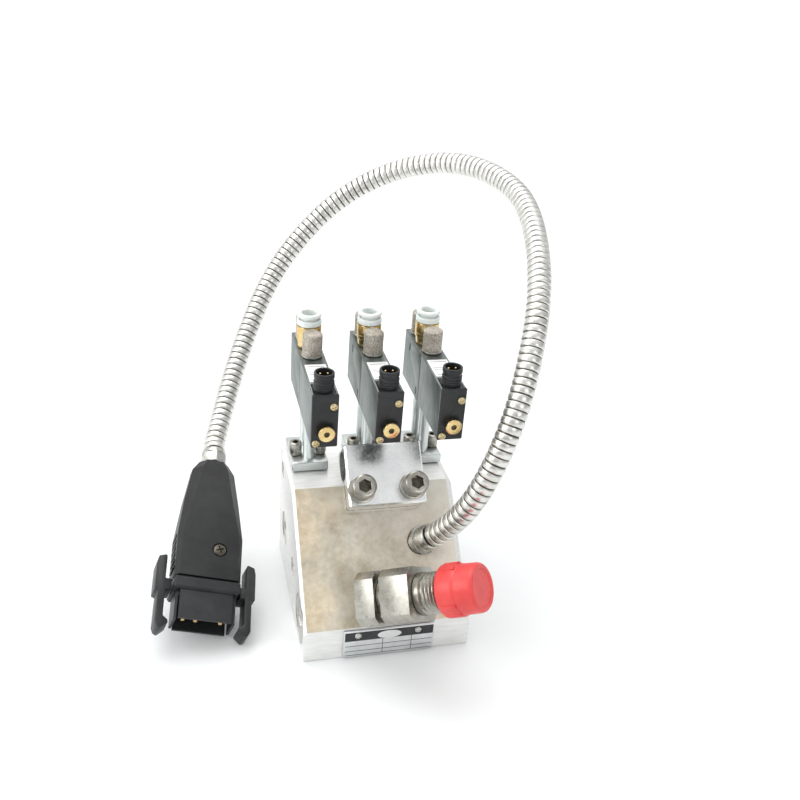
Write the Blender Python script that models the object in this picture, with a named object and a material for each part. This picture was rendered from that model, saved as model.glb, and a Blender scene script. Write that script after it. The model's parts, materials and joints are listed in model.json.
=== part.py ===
# Three-valve pneumatic manifold with exhaust mufflers, bar clamp, capped hose fitting and power cord.
#
# +Z is up, -Y is the front (the sloped face and the nameplate), +X is to the right.
# The origin is the centre of the manifold block's bottom face.  All lengths are in metres.

import math

import bmesh
import bpy
from mathutils import Matrix, Vector

MM = 0.001
GAP = 0.3 * MM  # seating clearance between pieces that touch
SMALL_SIDES = 16  # facets round the small turned pieces

# Manifold block: a flat front strip, a 45 degree sloped face and a flat top.
BLOCK_W = 70 * MM
BLOCK_D = 80 * MM
BLOCK_H = 56.5 * MM
STRIP_H = 15 * MM  # height of the vertical front strip
RIGHT_CHAMFER = 2.8 * MM
LEFT_CHAMFER = 1.2 * MM

# Valve stations
VALVE_PITCH = 25.4 * MM
VALVE_W = 10.4 * MM
VALVE_H = 22.6 * MM
VALVE_TOP = 109.8 * MM
VALVE_FRONT = -16.3 * MM
VALVE_REAR = 42.8 * MM
COIL_DEPTH = 10.4 * MM
COIL_FACE = 1.6 * MM  # thickness of the coil housing's full-width front plate
CHEEK = 0.9 * MM  # side plates of the valve body that run forward past the coil
MUFFLER_Y = 18.6 * MM  # front muffler; the tube fitting and the rear muffler follow
MUFFLER_R = 4.0 * MM
MUFFLER_H = 10.2 * MM
TUBE_OD = 6.0 * MM
FITTING_R = 5.1 * MM
PORT_PITCH = MUFFLER_R + FITTING_R + 0.5 * MM  # muffler and fitting stand just clear
FITTING_H = 15.3 * MM
RING_TRAVEL = 0.9 * MM
CONNECTOR_R = 4.0 * MM
CONNECTOR_H = 7.3 * MM
CONNECTOR_Y = -11.0 * MM
OVERRIDE_R = 3.25 * MM
OVERRIDE_REACH = 2.6 * MM
OVERRIDE_TRAVEL = 1.1 * MM

# Riser: a bolted flange with two air tubes that carry each valve
RISER_W = 15.6 * MM
RISER_D = 22.8 * MM
RISER_T = 4.6 * MM
RISER_FRONT = 14.2 * MM
RISER_TUBE_R = 2.5 * MM
RISER_TUBE_Y = (19.3 * MM, 30.6 * MM)
RISER_SCREW_X = 5.3 * MM
RISER_SCREW_Y = 22.7 * MM
M3_R = 1.5 * MM
M3_HEAD_R = 2.7 * MM

# Bar clamp on the sloped face
CLAMP_W = 32.4 * MM
CLAMP_X = 2.0 * MM
CLAMP_LOW = 46.6 * MM  # distance up the slope of its lower end
CLAMP_LEN = 26.1 * MM
CLAMP_T = 16.0 * MM
BAR_D = 12.7 * MM
BAR_UP = 65.2 * MM
SLIT = 1.2 * MM
CLAMP_SCREW_X = 10.8 * MM
CLAMP_SCREW_UP = 53.4 * MM
M6_R = 3.0 * MM
M6_HEAD_R = 5.0 * MM
M6_HEAD_H = 6.0 * MM
WASHER_H = 2.4 * MM

# Hose fitting on the sloped face
HOSE_X = -4.8 * MM
HOSE_UP = 9.9 * MM
HOSE_KNEE = 12.0 * MM  # height of the elbow's centre above the face
HOSE_TURN = math.radians(45)  # angle from the port's axis to the outlet's
HOSE_HEADING = math.radians(3)  # outlet heading, down the slope from +X
HOSE_FLATS = 21.0 * MM
HOSE_STEM_R = 6.0 * MM
HOSE_THREAD_R = 8.1 * MM
CAP_R = 9.6 * MM
CAP_SKIRT_R = 10.3 * MM
CAP_START = 30.4 * MM
CAP_LEN = 15.8 * MM
CAP_SKIRT_L = 8.0 * MM

# Power cord
CORD_X = 18.2 * MM
CORD_UP = 33.0 * MM
CORD_EXIT = Vector((0.42, -0.55, 0.72))  # the collar leans to the right of the face's normal
COLLAR_H = 7.0 * MM
CONDUIT_R = 5.0 * MM
CORD_LEAD = 6.0 * MM  # straight run of the conduit at each end

# Plug at the cord's far end: distances run back from its open mouth
PLUG_MOUTH = Vector((-74.6, -24.4, 10.2)) * MM
PLUG_YAW = math.radians(7.5)
PLUG_ROLL = math.radians(17.0)
PLUG_RISE = math.radians(22.0)
SHROUD_W = 25.0 * MM
SHROUD_T = 12.6 * MM
SHROUD_L = 12.7 * MM
BAND_W = 27.6 * MM
BAND_T = 15.0 * MM
BAND_L = 5.8 * MM
HOOD_L = 61.0 * MM
GLAND_L = 8.0 * MM
GLAND_R = 5.9 * MM
PIVOT_X = BAND_W / 2 + 1.9 * MM  # latch pivots, either side of the band
PIVOT_Y = 15.2 * MM
PIN_X = (-8.4 * MM, -3.2 * MM, 7.0 * MM)
PIN_R = 0.8 * MM
SHROUD_WALL = 1.1 * MM
HOOD_SCREW_R = 2.9 * MM


for old in list(bpy.data.objects):
    bpy.data.objects.remove(old, do_unlink=True)


def material(name, colour, roughness, metallic):
    made = bpy.data.materials.new(name)
    made.use_nodes = True
    shader = made.node_tree.nodes["Principled BSDF"]
    shader.inputs["Base Color"].default_value = (*colour, 1.0)
    shader.inputs["Roughness"].default_value = roughness
    shader.inputs["Metallic"].default_value = metallic
    return made


ALUMINIUM = material("machined_aluminium", (0.78, 0.76, 0.72), 0.35, 1.0)
SILVER = material("silver_anodised", (0.66, 0.70, 0.69), 0.40, 1.0)
ZINC = material("zinc_plate", (0.80, 0.81, 0.80), 0.22, 1.0)
STEEL = material("stainless_steel", (0.62, 0.61, 0.58), 0.30, 1.0)
BRASS = material("brass", (0.80, 0.62, 0.30), 0.32, 1.0)
BRONZE = material("sintered_bronze", (0.56, 0.51, 0.44), 0.85, 0.6)
BLACK = material("black_plastic", (0.03, 0.032, 0.034), 0.45, 0.0)
WHITE = material("white_plastic", (0.85, 0.88, 0.86), 0.40, 0.0)
RED = material("red_plastic", (0.80, 0.10, 0.09), 0.40, 0.0)
PLATE = material("printed_plate", (0.75, 0.76, 0.76), 0.35, 0.8)


def basis(origin, z_axis, x_axis):
    """The matrix whose +Z lies along z_axis and whose +X lies near x_axis."""
    z = Vector(z_axis).normalized()
    x = Vector(x_axis)
    x = (x - z * x.dot(z)).normalized()
    y = z.cross(x)
    turned = Matrix((x, y, z)).transposed().to_4x4()
    turned.translation = Vector(origin)
    return turned


def link(name, bm, mat=None, place=None, smooth=False):
    bmesh.ops.remove_doubles(bm, verts=bm.verts, dist=1e-6)
    bmesh.ops.recalc_face_normals(bm, faces=bm.faces)
    mesh = bpy.data.meshes.new(name)
    bm.to_mesh(mesh)
    bm.free()
    if smooth:
        mesh.shade_smooth()
        mesh.set_sharp_from_angle(angle=math.radians(35))
    made = bpy.data.objects.new(name, mesh)
    if place is not None:
        made.matrix_world = place
    if mat is not None:
        mesh.materials.append(mat)
    bpy.context.scene.collection.objects.link(made)
    return made


def box(low, high):
    bm = bmesh.new()
    bmesh.ops.create_cube(bm, size=1.0)
    low = Vector(low)
    size = Vector(high) - low
    for vert in bm.verts:
        vert.co = Vector((low[i] + (vert.co[i] + 0.5) * size[i] for i in range(3)))
    return bm


def bevelled_box(low, high, width, segments=1):
    bm = box(low, high)
    bmesh.ops.bevel(bm, geom=list(bm.edges), offset=width, segments=segments, affect="EDGES")
    return bm


def prism(outline, low, high):
    """An outline in the XY plane, extruded from z = low to z = high."""
    bm = bmesh.new()
    face = bm.faces.new([bm.verts.new((x, y, low)) for x, y in outline])
    grown = bmesh.ops.extrude_face_region(bm, geom=[face])
    tops = [g for g in grown["geom"] if isinstance(g, bmesh.types.BMVert)]
    bmesh.ops.translate(bm, verts=tops, vec=(0, 0, high - low))
    return bm


def turned(profile, sides=20):
    """A closed profile of (radius, height) points, spun about Z; radius 0 closes on the axis."""
    bm = bmesh.new()
    verts = [bm.verts.new((r, 0, z)) for r, z in profile]
    edges = [bm.edges.new((a, b)) for a, b in zip(verts, verts[1:])]
    if profile[0][0] > 0 or profile[-1][0] > 0:
        edges.append(bm.edges.new((verts[-1], verts[0])))
    bmesh.ops.spin(
        bm,
        geom=verts + edges,
        cent=(0, 0, 0),
        axis=(0, 0, 1),
        angle=2 * math.pi,
        steps=sides,
        use_merge=True,
    )
    return bm


def rod(radius, low, high, sides=20):
    return turned([(0, low), (radius, low), (radius, high), (0, high)], sides)


def regular(sides, across_flats):
    """The corners of a regular polygon with a flat towards +X."""
    radius = across_flats / 2 / math.cos(math.pi / sides)
    turn = math.pi / sides
    corners = [turn + 2 * math.pi * i / sides for i in range(sides)]
    return [(radius * math.cos(t), radius * math.sin(t)) for t in corners]


def chamfered_square(flats, chamfer):
    half = flats / 2
    cut = half - chamfer
    return [
        (half, -cut),
        (half, cut),
        (cut, half),
        (-cut, half),
        (-half, cut),
        (-half, -cut),
        (-cut, -half),
        (cut, -half),
    ]


def combine(target, bm, place, operation):
    """A Boolean of a hidden helper shape on the target."""
    helper = link(target.name + "_helper", bm, None, place)
    helper.hide_render = True
    helper.display_type = "WIRE"
    step = target.modifiers.new(operation.lower(), "BOOLEAN")
    step.operation = operation
    step.solver = "EXACT"
    step.object = helper
    return helper


def cut(target, bm, place=None):
    return combine(target, bm, place, "DIFFERENCE")


def join(target, bm, place=None):
    return combine(target, bm, place, "UNION")


# Sloped face: local X runs to the right, local Y up the slope, local Z out of the face.
SLOPE_NORMAL = Vector((0, -1, 1)).normalized()
SLOPE = basis((0, -BLOCK_D / 2, STRIP_H), SLOPE_NORMAL, (1, 0, 0))


def on_slope(x, up, out=0.0):
    return SLOPE @ Matrix.Translation((x, up, out))


# ---------------------------------------------------------------- manifold block
slope_run = BLOCK_H - STRIP_H
section = [
    (-BLOCK_D / 2, 0),
    (BLOCK_D / 2, 0),
    (BLOCK_D / 2, BLOCK_H),
    (-BLOCK_D / 2 + slope_run, BLOCK_H),
    (-BLOCK_D / 2, STRIP_H),
]
# The section is drawn in local XY, which stands for the block's Y and Z, and extruded along X.
bm = prism(section, -BLOCK_W / 2, BLOCK_W / 2)
bmesh.ops.transform(bm, matrix=basis((0, 0, 0), (1, 0, 0), (0, 1, 0)), verts=bm.verts)
for side, width in ((1, RIGHT_CHAMFER), (-1, LEFT_CHAMFER)):
    edges = []
    for edge in bm.edges:
        ends = [v.co for v in edge.verts]
        at_side = all(abs(c.x - side * BLOCK_W / 2) < 1e-6 for c in ends)
        low_end = min(c.z for c in ends)
        behind = all(c.y > BLOCK_D / 2 - 1e-6 for c in ends)
        if at_side and low_end > STRIP_H - 1e-6 and not behind:
            edges.append(edge)
    bmesh.ops.bevel(bm, geom=edges, offset=width, segments=1, affect="EDGES")
block = link("manifold_block", bm, ALUMINIUM)

# Plugs in the left end: (name, y, z, radius, length, hex key size)
SIDE_PLUGS = (
    ("filter_plug", -27.0 * MM, 11.8 * MM, 10.4 * MM, 20.0 * MM, 8.0 * MM),
    ("side_plug_rear", 22.0 * MM, 22.0 * MM, 7.4 * MM, 9.0 * MM, 6.0 * MM),
    ("side_plug_middle", -5.0 * MM, 21.0 * MM, 4.0 * MM, 8.0 * MM, 4.0 * MM),
    ("side_plug_upper", 30.5 * MM, 48.0 * MM, 3.4 * MM, 8.0 * MM, 3.0 * MM),
)
for name, y, z, radius, length, key in SIDE_PLUGS:
    inward = basis((-BLOCK_W / 2, y, z), (1, 0, 0), (0, 1, 0))
    cut(block, rod(radius + GAP, -1 * MM, length + GAP, 24), inward)
    plug = link(name, rod(radius, 0.3 * MM, length, 24), STEEL, inward, True)
    cut(plug, prism(regular(6, key), -1 * MM, length * 0.45), inward)

# Module ports in the back face, one under each valve station
for station in (-1, 0, 1):
    port = basis((station * VALVE_PITCH, BLOCK_D / 2, 20 * MM), (0, -1, 0), (1, 0, 0))
    cut(block, rod(3.5 * MM, -1 * MM, 7 * MM, 16), port)

# ---------------------------------------------------------------- bar clamp
clamp_place = on_slope(CLAMP_X, 0)
clamp = link(
    "clamp_block",
    bevelled_box(
        (-CLAMP_W / 2, CLAMP_LOW, GAP),
        (CLAMP_W / 2, CLAMP_LOW + CLAMP_LEN, CLAMP_T),
        0.7 * MM,
    ),
    ZINC,
    clamp_place,
)
bar_axis = clamp_place @ basis((0, BAR_UP, CLAMP_T / 2), (1, 0, 0), (0, 1, 0))
cut(clamp, rod(BAR_D / 2, -CLAMP_W, CLAMP_W, 32), bar_axis)
slit_low = (-CLAMP_W, CLAMP_LOW - 2 * MM, (CLAMP_T - SLIT) / 2)
slit_high = (CLAMP_W, BAR_UP, (CLAMP_T + SLIT) / 2)
cut(clamp, box(slit_low, slit_high), clamp_place)
for side, name in ((-1, "left"), (1, "right")):
    seat = on_slope(CLAMP_X + side * CLAMP_SCREW_X, CLAMP_SCREW_UP)
    cut(clamp, rod(M6_R + GAP, -2 * MM, CLAMP_T + 2 * MM, 16), seat)
    cut(block, rod(M6_R + GAP, -10 * MM, 5 * MM, 16), seat)
    washer = [
        (M6_R + GAP, CLAMP_T + GAP),
        (M6_HEAD_R + 0.6 * MM, CLAMP_T + GAP),
        (M6_HEAD_R + 0.6 * MM, CLAMP_T + GAP + WASHER_H / 2),
        (M6_HEAD_R - 0.2 * MM, CLAMP_T + GAP + WASHER_H / 2),
        (M6_HEAD_R - 0.2 * MM, CLAMP_T + GAP + WASHER_H),
        (M6_R + GAP, CLAMP_T + GAP + WASHER_H),
    ]
    link("clamp_washer_" + name, turned(washer, 20), STEEL, seat, True)
    head = CLAMP_T + WASHER_H + 2 * GAP
    screw = [
        (0, -9 * MM),
        (M6_R, -9 * MM),
        (M6_R, head),
        (M6_HEAD_R, head),
        (M6_HEAD_R, head + M6_HEAD_H - 0.5 * MM),
        (M6_HEAD_R - 0.5 * MM, head + M6_HEAD_H),
        (0, head + M6_HEAD_H),
    ]
    bolt = link("clamp_screw_" + name, turned(screw, 24), STEEL, seat, True)
    cut(bolt, prism(regular(6, 5 * MM), head + M6_HEAD_H - 3 * MM, head + M6_HEAD_H + 1 * MM), seat)

# ---------------------------------------------------------------- nameplate
plate_front = -BLOCK_D / 2 - GAP
link(
    "nameplate",
    box((-18.8 * MM, plate_front - 0.8 * MM, 0.6 * MM), (19.4 * MM, plate_front, 14.0 * MM)),
    PLATE,
)

# ---------------------------------------------------------------- hose fitting
port = on_slope(HOSE_X, HOSE_UP)
along = (
    SLOPE_NORMAL * math.cos(HOSE_TURN)
    + Vector((1, 0, 0)) * math.sin(HOSE_TURN) * math.cos(HOSE_HEADING)
    - Vector((0, 1, 1)).normalized() * math.sin(HOSE_TURN) * math.sin(HOSE_HEADING)
)
knee = port @ Vector((0, 0, HOSE_KNEE))
outlet = basis(knee, along, (0, 1, 1))
cut(block, rod(HOSE_STEM_R + GAP, -8 * MM, 5 * MM, 20), port)
elbow = link(
    "hose_elbow",
    prism(chamfered_square(HOSE_FLATS, 3 * MM), -5.3 * MM, 3.7 * MM),
    STEEL,
    outlet,
)
join(elbow, rod(HOSE_STEM_R, -7 * MM, HOSE_KNEE - 4 * MM, 20), port)
nut = link(
    "hose_nut",
    prism(chamfered_square(HOSE_FLATS, 3 * MM), 6.4 * MM, 19.5 * MM),
    STEEL,
    outlet,
)
join(nut, rod(9.4 * MM, 4.0 * MM, 8.0 * MM, 24), outlet)
cut(nut, rod(5 * MM + GAP, 2 * MM, 22 * MM, 20), outlet)
nipple = [
    (4.0 * MM, 4.3 * MM),
    (5.0 * MM, 4.3 * MM),
    (5.0 * MM, 19.8 * MM),
    (HOSE_THREAD_R + 0.2 * MM, 19.8 * MM),
    (HOSE_THREAD_R + 0.2 * MM, 22.5 * MM),
    (HOSE_THREAD_R, 23.2 * MM),
    (HOSE_THREAD_R, 36 * MM),
    (5.2 * MM, 39.5 * MM),
    (4.0 * MM, 39.5 * MM),
]
link("hose_nipple", turned(nipple, 28), STEEL, outlet, True)
cap_end = CAP_START + CAP_LEN
cap = [
    (0, cap_end - 2 * MM),
    (HOSE_THREAD_R + GAP, cap_end - 2 * MM),
    (HOSE_THREAD_R + GAP, CAP_START),
    (CAP_SKIRT_R - 0.5 * MM, CAP_START),
    (CAP_SKIRT_R, CAP_START + 0.8 * MM),
    (CAP_SKIRT_R, CAP_START + CAP_SKIRT_L - 0.6 * MM),
    (CAP_R, CAP_START + CAP_SKIRT_L),
    (CAP_R - 0.2 * MM, cap_end - 1.5 * MM),
    (CAP_R - 1.5 * MM, cap_end),
    (0, cap_end),
]
link("hose_cap", turned(cap, 28), RED, outlet, True)

# ---------------------------------------------------------------- valve stations
for index, station in enumerate((-1, 0, 1), start=1):
    tag = "_%d" % index
    x0 = station * VALVE_PITCH
    half = VALVE_W / 2
    bottom = VALVE_TOP - VALVE_H

    # Riser flange and its two air tubes
    riser = link(
        "riser" + tag,
        bevelled_box(
            (x0 - RISER_W / 2, RISER_FRONT, BLOCK_H + GAP),
            (x0 + RISER_W / 2, RISER_FRONT + RISER_D, BLOCK_H + RISER_T),
            0.4 * MM,
        ),
        SILVER,
    )
    for y in RISER_TUBE_Y:
        tube = Matrix.Translation((x0, y, 0))
        join(riser, rod(RISER_TUBE_R, BLOCK_H + RISER_T - 2 * MM, bottom - GAP, 20), tube)
    for side, name in ((-1, "left"), (1, "right")):
        seat = Matrix.Translation((x0 + side * RISER_SCREW_X, RISER_SCREW_Y, 0))
        cut(riser, rod(M3_R + GAP, BLOCK_H - 2 * MM, BLOCK_H + RISER_T + 2 * MM, 12), seat)
        cut(block, rod(M3_R + GAP, BLOCK_H - 8 * MM, BLOCK_H + 2 * MM, 12), seat)
        head = BLOCK_H + RISER_T + GAP
        screw = [
            (0, BLOCK_H - 7 * MM),
            (M3_R, BLOCK_H - 7 * MM),
            (M3_R, head),
            (M3_HEAD_R, head),
            (M3_HEAD_R, head + 5.2 * MM),
            (M3_HEAD_R - 0.4 * MM, head + 5.6 * MM),
            (0, head + 5.6 * MM),
        ]
        bolt = link("riser_screw_" + name + tag, turned(screw, 16), STEEL, seat, True)
        socket = prism(regular(6, 2.5 * MM), head + 3.6 * MM, head + 7 * MM)
        cut(bolt, socket, seat)

    # Valve body: a block whose two thin side plates run forward past the coil
    plates_front = VALVE_FRONT + COIL_FACE + GAP
    body = link(
        "valve_body" + tag,
        bevelled_box((x0 - half, plates_front, bottom), (x0 + half, VALVE_REAR, VALVE_TOP), 0.3 * MM),
        SILVER,
    )
    pocket_rear = VALVE_FRONT + COIL_DEPTH
    cut(
        body,
        box(
            (x0 - half + CHEEK, plates_front - 2 * MM, bottom - 1 * MM),
            (x0 + half - CHEEK, pocket_rear, VALVE_TOP + 1 * MM),
        ),
    )

    # Coil housing with its full-width front plate
    core = half - CHEEK - GAP
    coil = link(
        "coil_housing" + tag,
        box((x0 - core, VALVE_FRONT + 0.5 * MM, bottom + GAP), (x0 + core, pocket_rear - GAP, VALVE_TOP)),
        BLACK,
    )
    join(
        coil,
        bevelled_box(
            (x0 - half, VALVE_FRONT, bottom),
            (x0 + half, VALVE_FRONT + COIL_FACE, VALVE_TOP + 0.2 * MM),
            0.35 * MM,
        ),
    )

    # Round plug connector on the coil
    stand = Matrix.Translation((x0, CONNECTOR_Y, VALVE_TOP + GAP))
    shell = [
        (0, 0),
        (CONNECTOR_R, 0),
        (CONNECTOR_R, CONNECTOR_H - 3.4 * MM),
        (CONNECTOR_R - 0.4 * MM, CONNECTOR_H - 3.1 * MM),
        (CONNECTOR_R - 0.4 * MM, CONNECTOR_H - 2.4 * MM),
        (CONNECTOR_R, CONNECTOR_H - 2.1 * MM),
        (CONNECTOR_R - 0.1 * MM, CONNECTOR_H),
        (3.1 * MM, CONNECTOR_H),
        (3.1 * MM, 2.8 * MM),
        (0, 2.8 * MM),
    ]
    link("connector" + tag, turned(shell, SMALL_SIDES), BLACK, stand, True)

    # Manual override: a brass button in the coil's front plate
    push = basis((x0 + 0.5 * MM, VALVE_FRONT, 94.2 * MM), (0, -1, 0), (1, 0, 0))
    cut(coil, rod(1.8 * MM + GAP, -5 * MM, 3 * MM, 16), push)
    button = [
        (0, -3 * MM),
        (1.8 * MM, -3 * MM),
        (1.8 * MM, OVERRIDE_TRAVEL + 0.2 * MM),
        (OVERRIDE_R, OVERRIDE_TRAVEL + 0.2 * MM),
        (OVERRIDE_R, OVERRIDE_REACH - 0.3 * MM),
        (OVERRIDE_R - 0.3 * MM, OVERRIDE_REACH),
        (1.1 * MM, OVERRIDE_REACH),
        (1.1 * MM, 0.5 * MM),
        (0, 0.5 * MM),
    ]
    link("override" + tag, turned(button, SMALL_SIDES), BRASS, push, True)

    # Exhaust mufflers, front and rear, each on a threaded stud
    for name, y in (("front", MUFFLER_Y), ("rear", MUFFLER_Y + 2 * PORT_PITCH)):
        foot = Matrix.Translation((x0, y, VALVE_TOP))
        cut(body, rod(2.2 * MM + GAP, -3.5 * MM, 1 * MM, 16), foot)
        silencer = [
            (0, -3 * MM),
            (2.2 * MM, -3 * MM),
            (2.2 * MM, GAP),
            (MUFFLER_R + 0.15 * MM, GAP),
            (MUFFLER_R + 0.15 * MM, 1.1 * MM),
            (MUFFLER_R, 1.3 * MM),
            (MUFFLER_R, MUFFLER_H - 0.5 * MM),
            (MUFFLER_R - 0.5 * MM, MUFFLER_H),
            (0, MUFFLER_H),
        ]
        link("muffler_" + name + tag, turned(silencer, SMALL_SIDES), BRONZE, foot, True)

    # Push-in tube fitting: brass body, fixed white collar, sliding release ring
    foot = Matrix.Translation((x0, MUFFLER_Y + PORT_PITCH, VALVE_TOP))
    cut(body, rod(2.2 * MM + GAP, -3.5 * MM, 1 * MM, 16), foot)
    bore = TUBE_OD / 2 + 0.1 * MM
    brass_top = FITTING_H - 5.4 * MM
    fitting = [
        (0, -3 * MM),
        (2.2 * MM, -3 * MM),
        (2.2 * MM, GAP),
        (4.6 * MM, GAP),
        (4.6 * MM, 3.2 * MM),
        (FITTING_R, 3.6 * MM),
        (FITTING_R, brass_top),
        (bore + 1.0 * MM, brass_top),
        (bore + 1.0 * MM, 2.2 * MM),
        (0, 2.2 * MM),
    ]
    link("fitting_body" + tag, turned(fitting, SMALL_SIDES), BRASS, foot, True)
    collar_top = brass_top + GAP + 2.4 * MM
    collar = [
        (bore + 1.0 * MM, brass_top + GAP),
        (FITTING_R, brass_top + GAP),
        (FITTING_R, collar_top - 0.3 * MM),
        (FITTING_R - 0.3 * MM, collar_top),
        (bore + 1.0 * MM, collar_top),
    ]
    link("fitting_collar" + tag, turned(collar, SMALL_SIDES), WHITE, foot, True)
    ring_under = collar_top + GAP + RING_TRAVEL
    ring = [
        (bore, 3.6 * MM),
        (bore + 0.7 * MM, 3.6 * MM),
        (bore + 0.7 * MM, ring_under),
        (FITTING_R - 0.1 * MM, ring_under),
        (FITTING_R - 0.1 * MM, FITTING_H - 0.4 * MM),
        (FITTING_R - 0.5 * MM, FITTING_H),
        (bore + 0.5 * MM, FITTING_H),
        (bore, FITTING_H - 0.5 * MM),
    ]
    link("release_ring" + tag, turned(ring, SMALL_SIDES), WHITE, foot, True)

# ---------------------------------------------------------------- cord: collar, conduit
root = basis(on_slope(CORD_X, CORD_UP).translation, CORD_EXIT, (1, 0, 0))
cut(block, rod(CONDUIT_R + 0.6 * MM + GAP, -5.5 * MM, 9 * MM, 24), root)
collar = [
    (0, -5 * MM),
    (CONDUIT_R + 0.6 * MM, -5 * MM),
    (CONDUIT_R + 0.6 * MM, COLLAR_H - 0.6 * MM),
    (CONDUIT_R, COLLAR_H),
    (0, COLLAR_H),
]
link("conduit_collar", turned(collar, SMALL_SIDES), STEEL, root, True)

# ---------------------------------------------------------------- plug frame
mouth_dir = Vector(
    (
        -math.sin(PLUG_YAW) * math.cos(PLUG_RISE),
        -math.cos(PLUG_YAW) * math.cos(PLUG_RISE),
        -math.sin(PLUG_RISE),
    )
)
level = Vector((math.cos(PLUG_YAW), -math.sin(PLUG_YAW), 0))
upright = level.cross(-mouth_dir)
across = level * math.cos(PLUG_ROLL) - upright * math.sin(PLUG_ROLL)
# Local X runs across the plug, local Y back from the mouth, local Z out of its top.
plug = basis(PLUG_MOUTH, across.cross(-mouth_dir), across)
plug_back = plug @ Matrix.Rotation(math.radians(-90), 4, "X")  # local Z runs back from the mouth

hood_start = SHROUD_L + BAND_L
hood_end = hood_start + HOOD_L
gland_end = hood_end + GAP + GLAND_L

# Cord route: hand-placed stations between the collar and the gland, in millimetres.
ROUTE_MM = (
    (30.0, -30.2, 60.0),
    (36.5, -32.5, 75.5),
    (44.0, -30.0, 94.5),
    (51.5, -22.0, 111.0),
    (61.5, -3.0, 133.0),
    (68.5, 18.5, 147.5),
    (74.0, 47.5, 159.5),
    (73.0, 72.5, 166.0),
    (61.0, 102.0, 168.5),
    (42.0, 122.5, 162.5),
    (21.0, 133.5, 151.5),
    (0.0, 136.0, 136.5),
    (-22.0, 130.0, 114.0),
    (-36.0, 118.5, 94.5),
    (-49.0, 99.0, 71.5),
    (-57.5, 78.5, 55.5),
)
cord_start = root @ Vector((0, 0, COLLAR_H + 2 * GAP))
cord_end = plug @ Vector((0, gland_end + 2 * GAP, 0))
start_dir = CORD_EXIT.normalized()
end_dir = mouth_dir
stations = [cord_start, cord_start + start_dir * CORD_LEAD]
stations += [Vector(p) * MM for p in ROUTE_MM]
stations += [cord_end - end_dir * CORD_LEAD, cord_end]


def spline_points(knots, first, last, steps):
    """Cubic segments through the knots, with the end directions given."""
    slopes = [first * (knots[1] - knots[0]).length]
    for before, after in zip(knots, knots[2:]):
        slopes.append((after - before) / 2)
    slopes.append(last * (knots[-1] - knots[-2]).length)
    points = []
    for i in range(len(knots) - 1):
        for j in range(steps):
            t = j / steps
            h1 = 2 * t**3 - 3 * t**2 + 1
            h2 = t**3 - 2 * t**2 + t
            h3 = -2 * t**3 + 3 * t**2
            h4 = t**3 - t**2
            points.append(knots[i] * h1 + slopes[i] * h2 + knots[i + 1] * h3 + slopes[i + 1] * h4)
    points.append(knots[-1])
    return points


def relaxed(points, rounds):
    """The same line with its unevenness eased out; both end stretches stay straight."""
    points = [p.copy() for p in points]
    for _ in range(rounds):
        moved = [p.copy() for p in points]
        for i in range(6, len(points) - 6):
            moved[i] = (points[i - 1] + points[i] * 2 + points[i + 1]) / 4
        points = moved
    return points


def spaced(points, count):
    """Points at equal distances along the line."""
    lengths = [0.0]
    for a, b in zip(points, points[1:]):
        lengths.append(lengths[-1] + (b - a).length)
    found = []
    j = 0
    for i in range(count):
        want = lengths[-1] * i / (count - 1)
        while j < len(points) - 2 and lengths[j + 1] < want:
            j += 1
        t = (want - lengths[j]) / (lengths[j + 1] - lengths[j])
        found.append(points[j].lerp(points[j + 1], t))
    return found


fine = relaxed(spline_points(stations, start_dir, end_dir, 8), 24)
line = spaced(fine, 56)
curve = bpy.data.curves.new("conduit", "CURVE")
curve.dimensions = "3D"
curve.bevel_depth = CONDUIT_R
curve.bevel_resolution = 3
curve.use_fill_caps = True
path = curve.splines.new("POLY")
path.points.add(len(line) - 1)
for point, place in zip(path.points, line):
    point.co = (*place, 1.0)
curve.materials.append(STEEL)
conduit = bpy.data.objects.new("conduit", curve)
bpy.context.scene.collection.objects.link(conduit)

# ---------------------------------------------------------------- plug
gland = [
    (0, hood_end + GAP),
    (GLAND_R, hood_end + GAP),
    (GLAND_R, gland_end - 0.7 * MM),
    (CONDUIT_R + 0.2 * MM, gland_end),
    (0, gland_end),
]
link("gland_nut", turned(gland, 20), STEEL, plug_back, True)

# The hood, lofted: (distance back from the mouth, half width, half height, corner chamfer)
widest = BAND_W / 2 + 0.2 * MM
hood_sections = (
    (hood_start + GAP, BAND_W / 2, BAND_T / 2, 1.6 * MM),
    (hood_start + 21 * MM, widest, BAND_T / 2, 1.8 * MM),
    (hood_end - 22 * MM, widest - 1.8 * MM, BAND_T / 2 - 0.6 * MM, 3.6 * MM),
    (hood_end - 4.5 * MM, widest - 4.4 * MM, BAND_T / 2 - 1.2 * MM, 4.0 * MM),
    (hood_end, widest - 7.2 * MM, BAND_T / 2 - 2.0 * MM, 3.2 * MM),
)
hood_bm = bmesh.new()
rings = []
for back, wide, high, corner in hood_sections:
    outline = (
        (wide, corner - high),
        (wide, high - corner),
        (wide - corner, high),
        (corner - wide, high),
        (-wide, high - corner),
        (-wide, corner - high),
        (corner - wide, -high),
        (wide - corner, -high),
    )
    rings.append([hood_bm.verts.new((x, back, z)) for x, z in outline])
for fore, aft in zip(rings, rings[1:]):
    for i in range(8):
        j = (i + 1) % 8
        hood_bm.faces.new((fore[i], fore[j], aft[j], aft[i]))
hood_bm.faces.new(rings[0])
hood_bm.faces.new(rings[-1])
hood = link("plug_hood", hood_bm, BLACK, plug)
screw_seat = plug @ Matrix.Translation((4.0 * MM, 32.3 * MM, BAND_T / 2))
cut(hood, rod(HOOD_SCREW_R + GAP, -1.6 * MM, 3 * MM, 20), screw_seat)
cut(hood, rod(1.5 * MM + GAP, -9 * MM, 3 * MM, 12), screw_seat)
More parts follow.
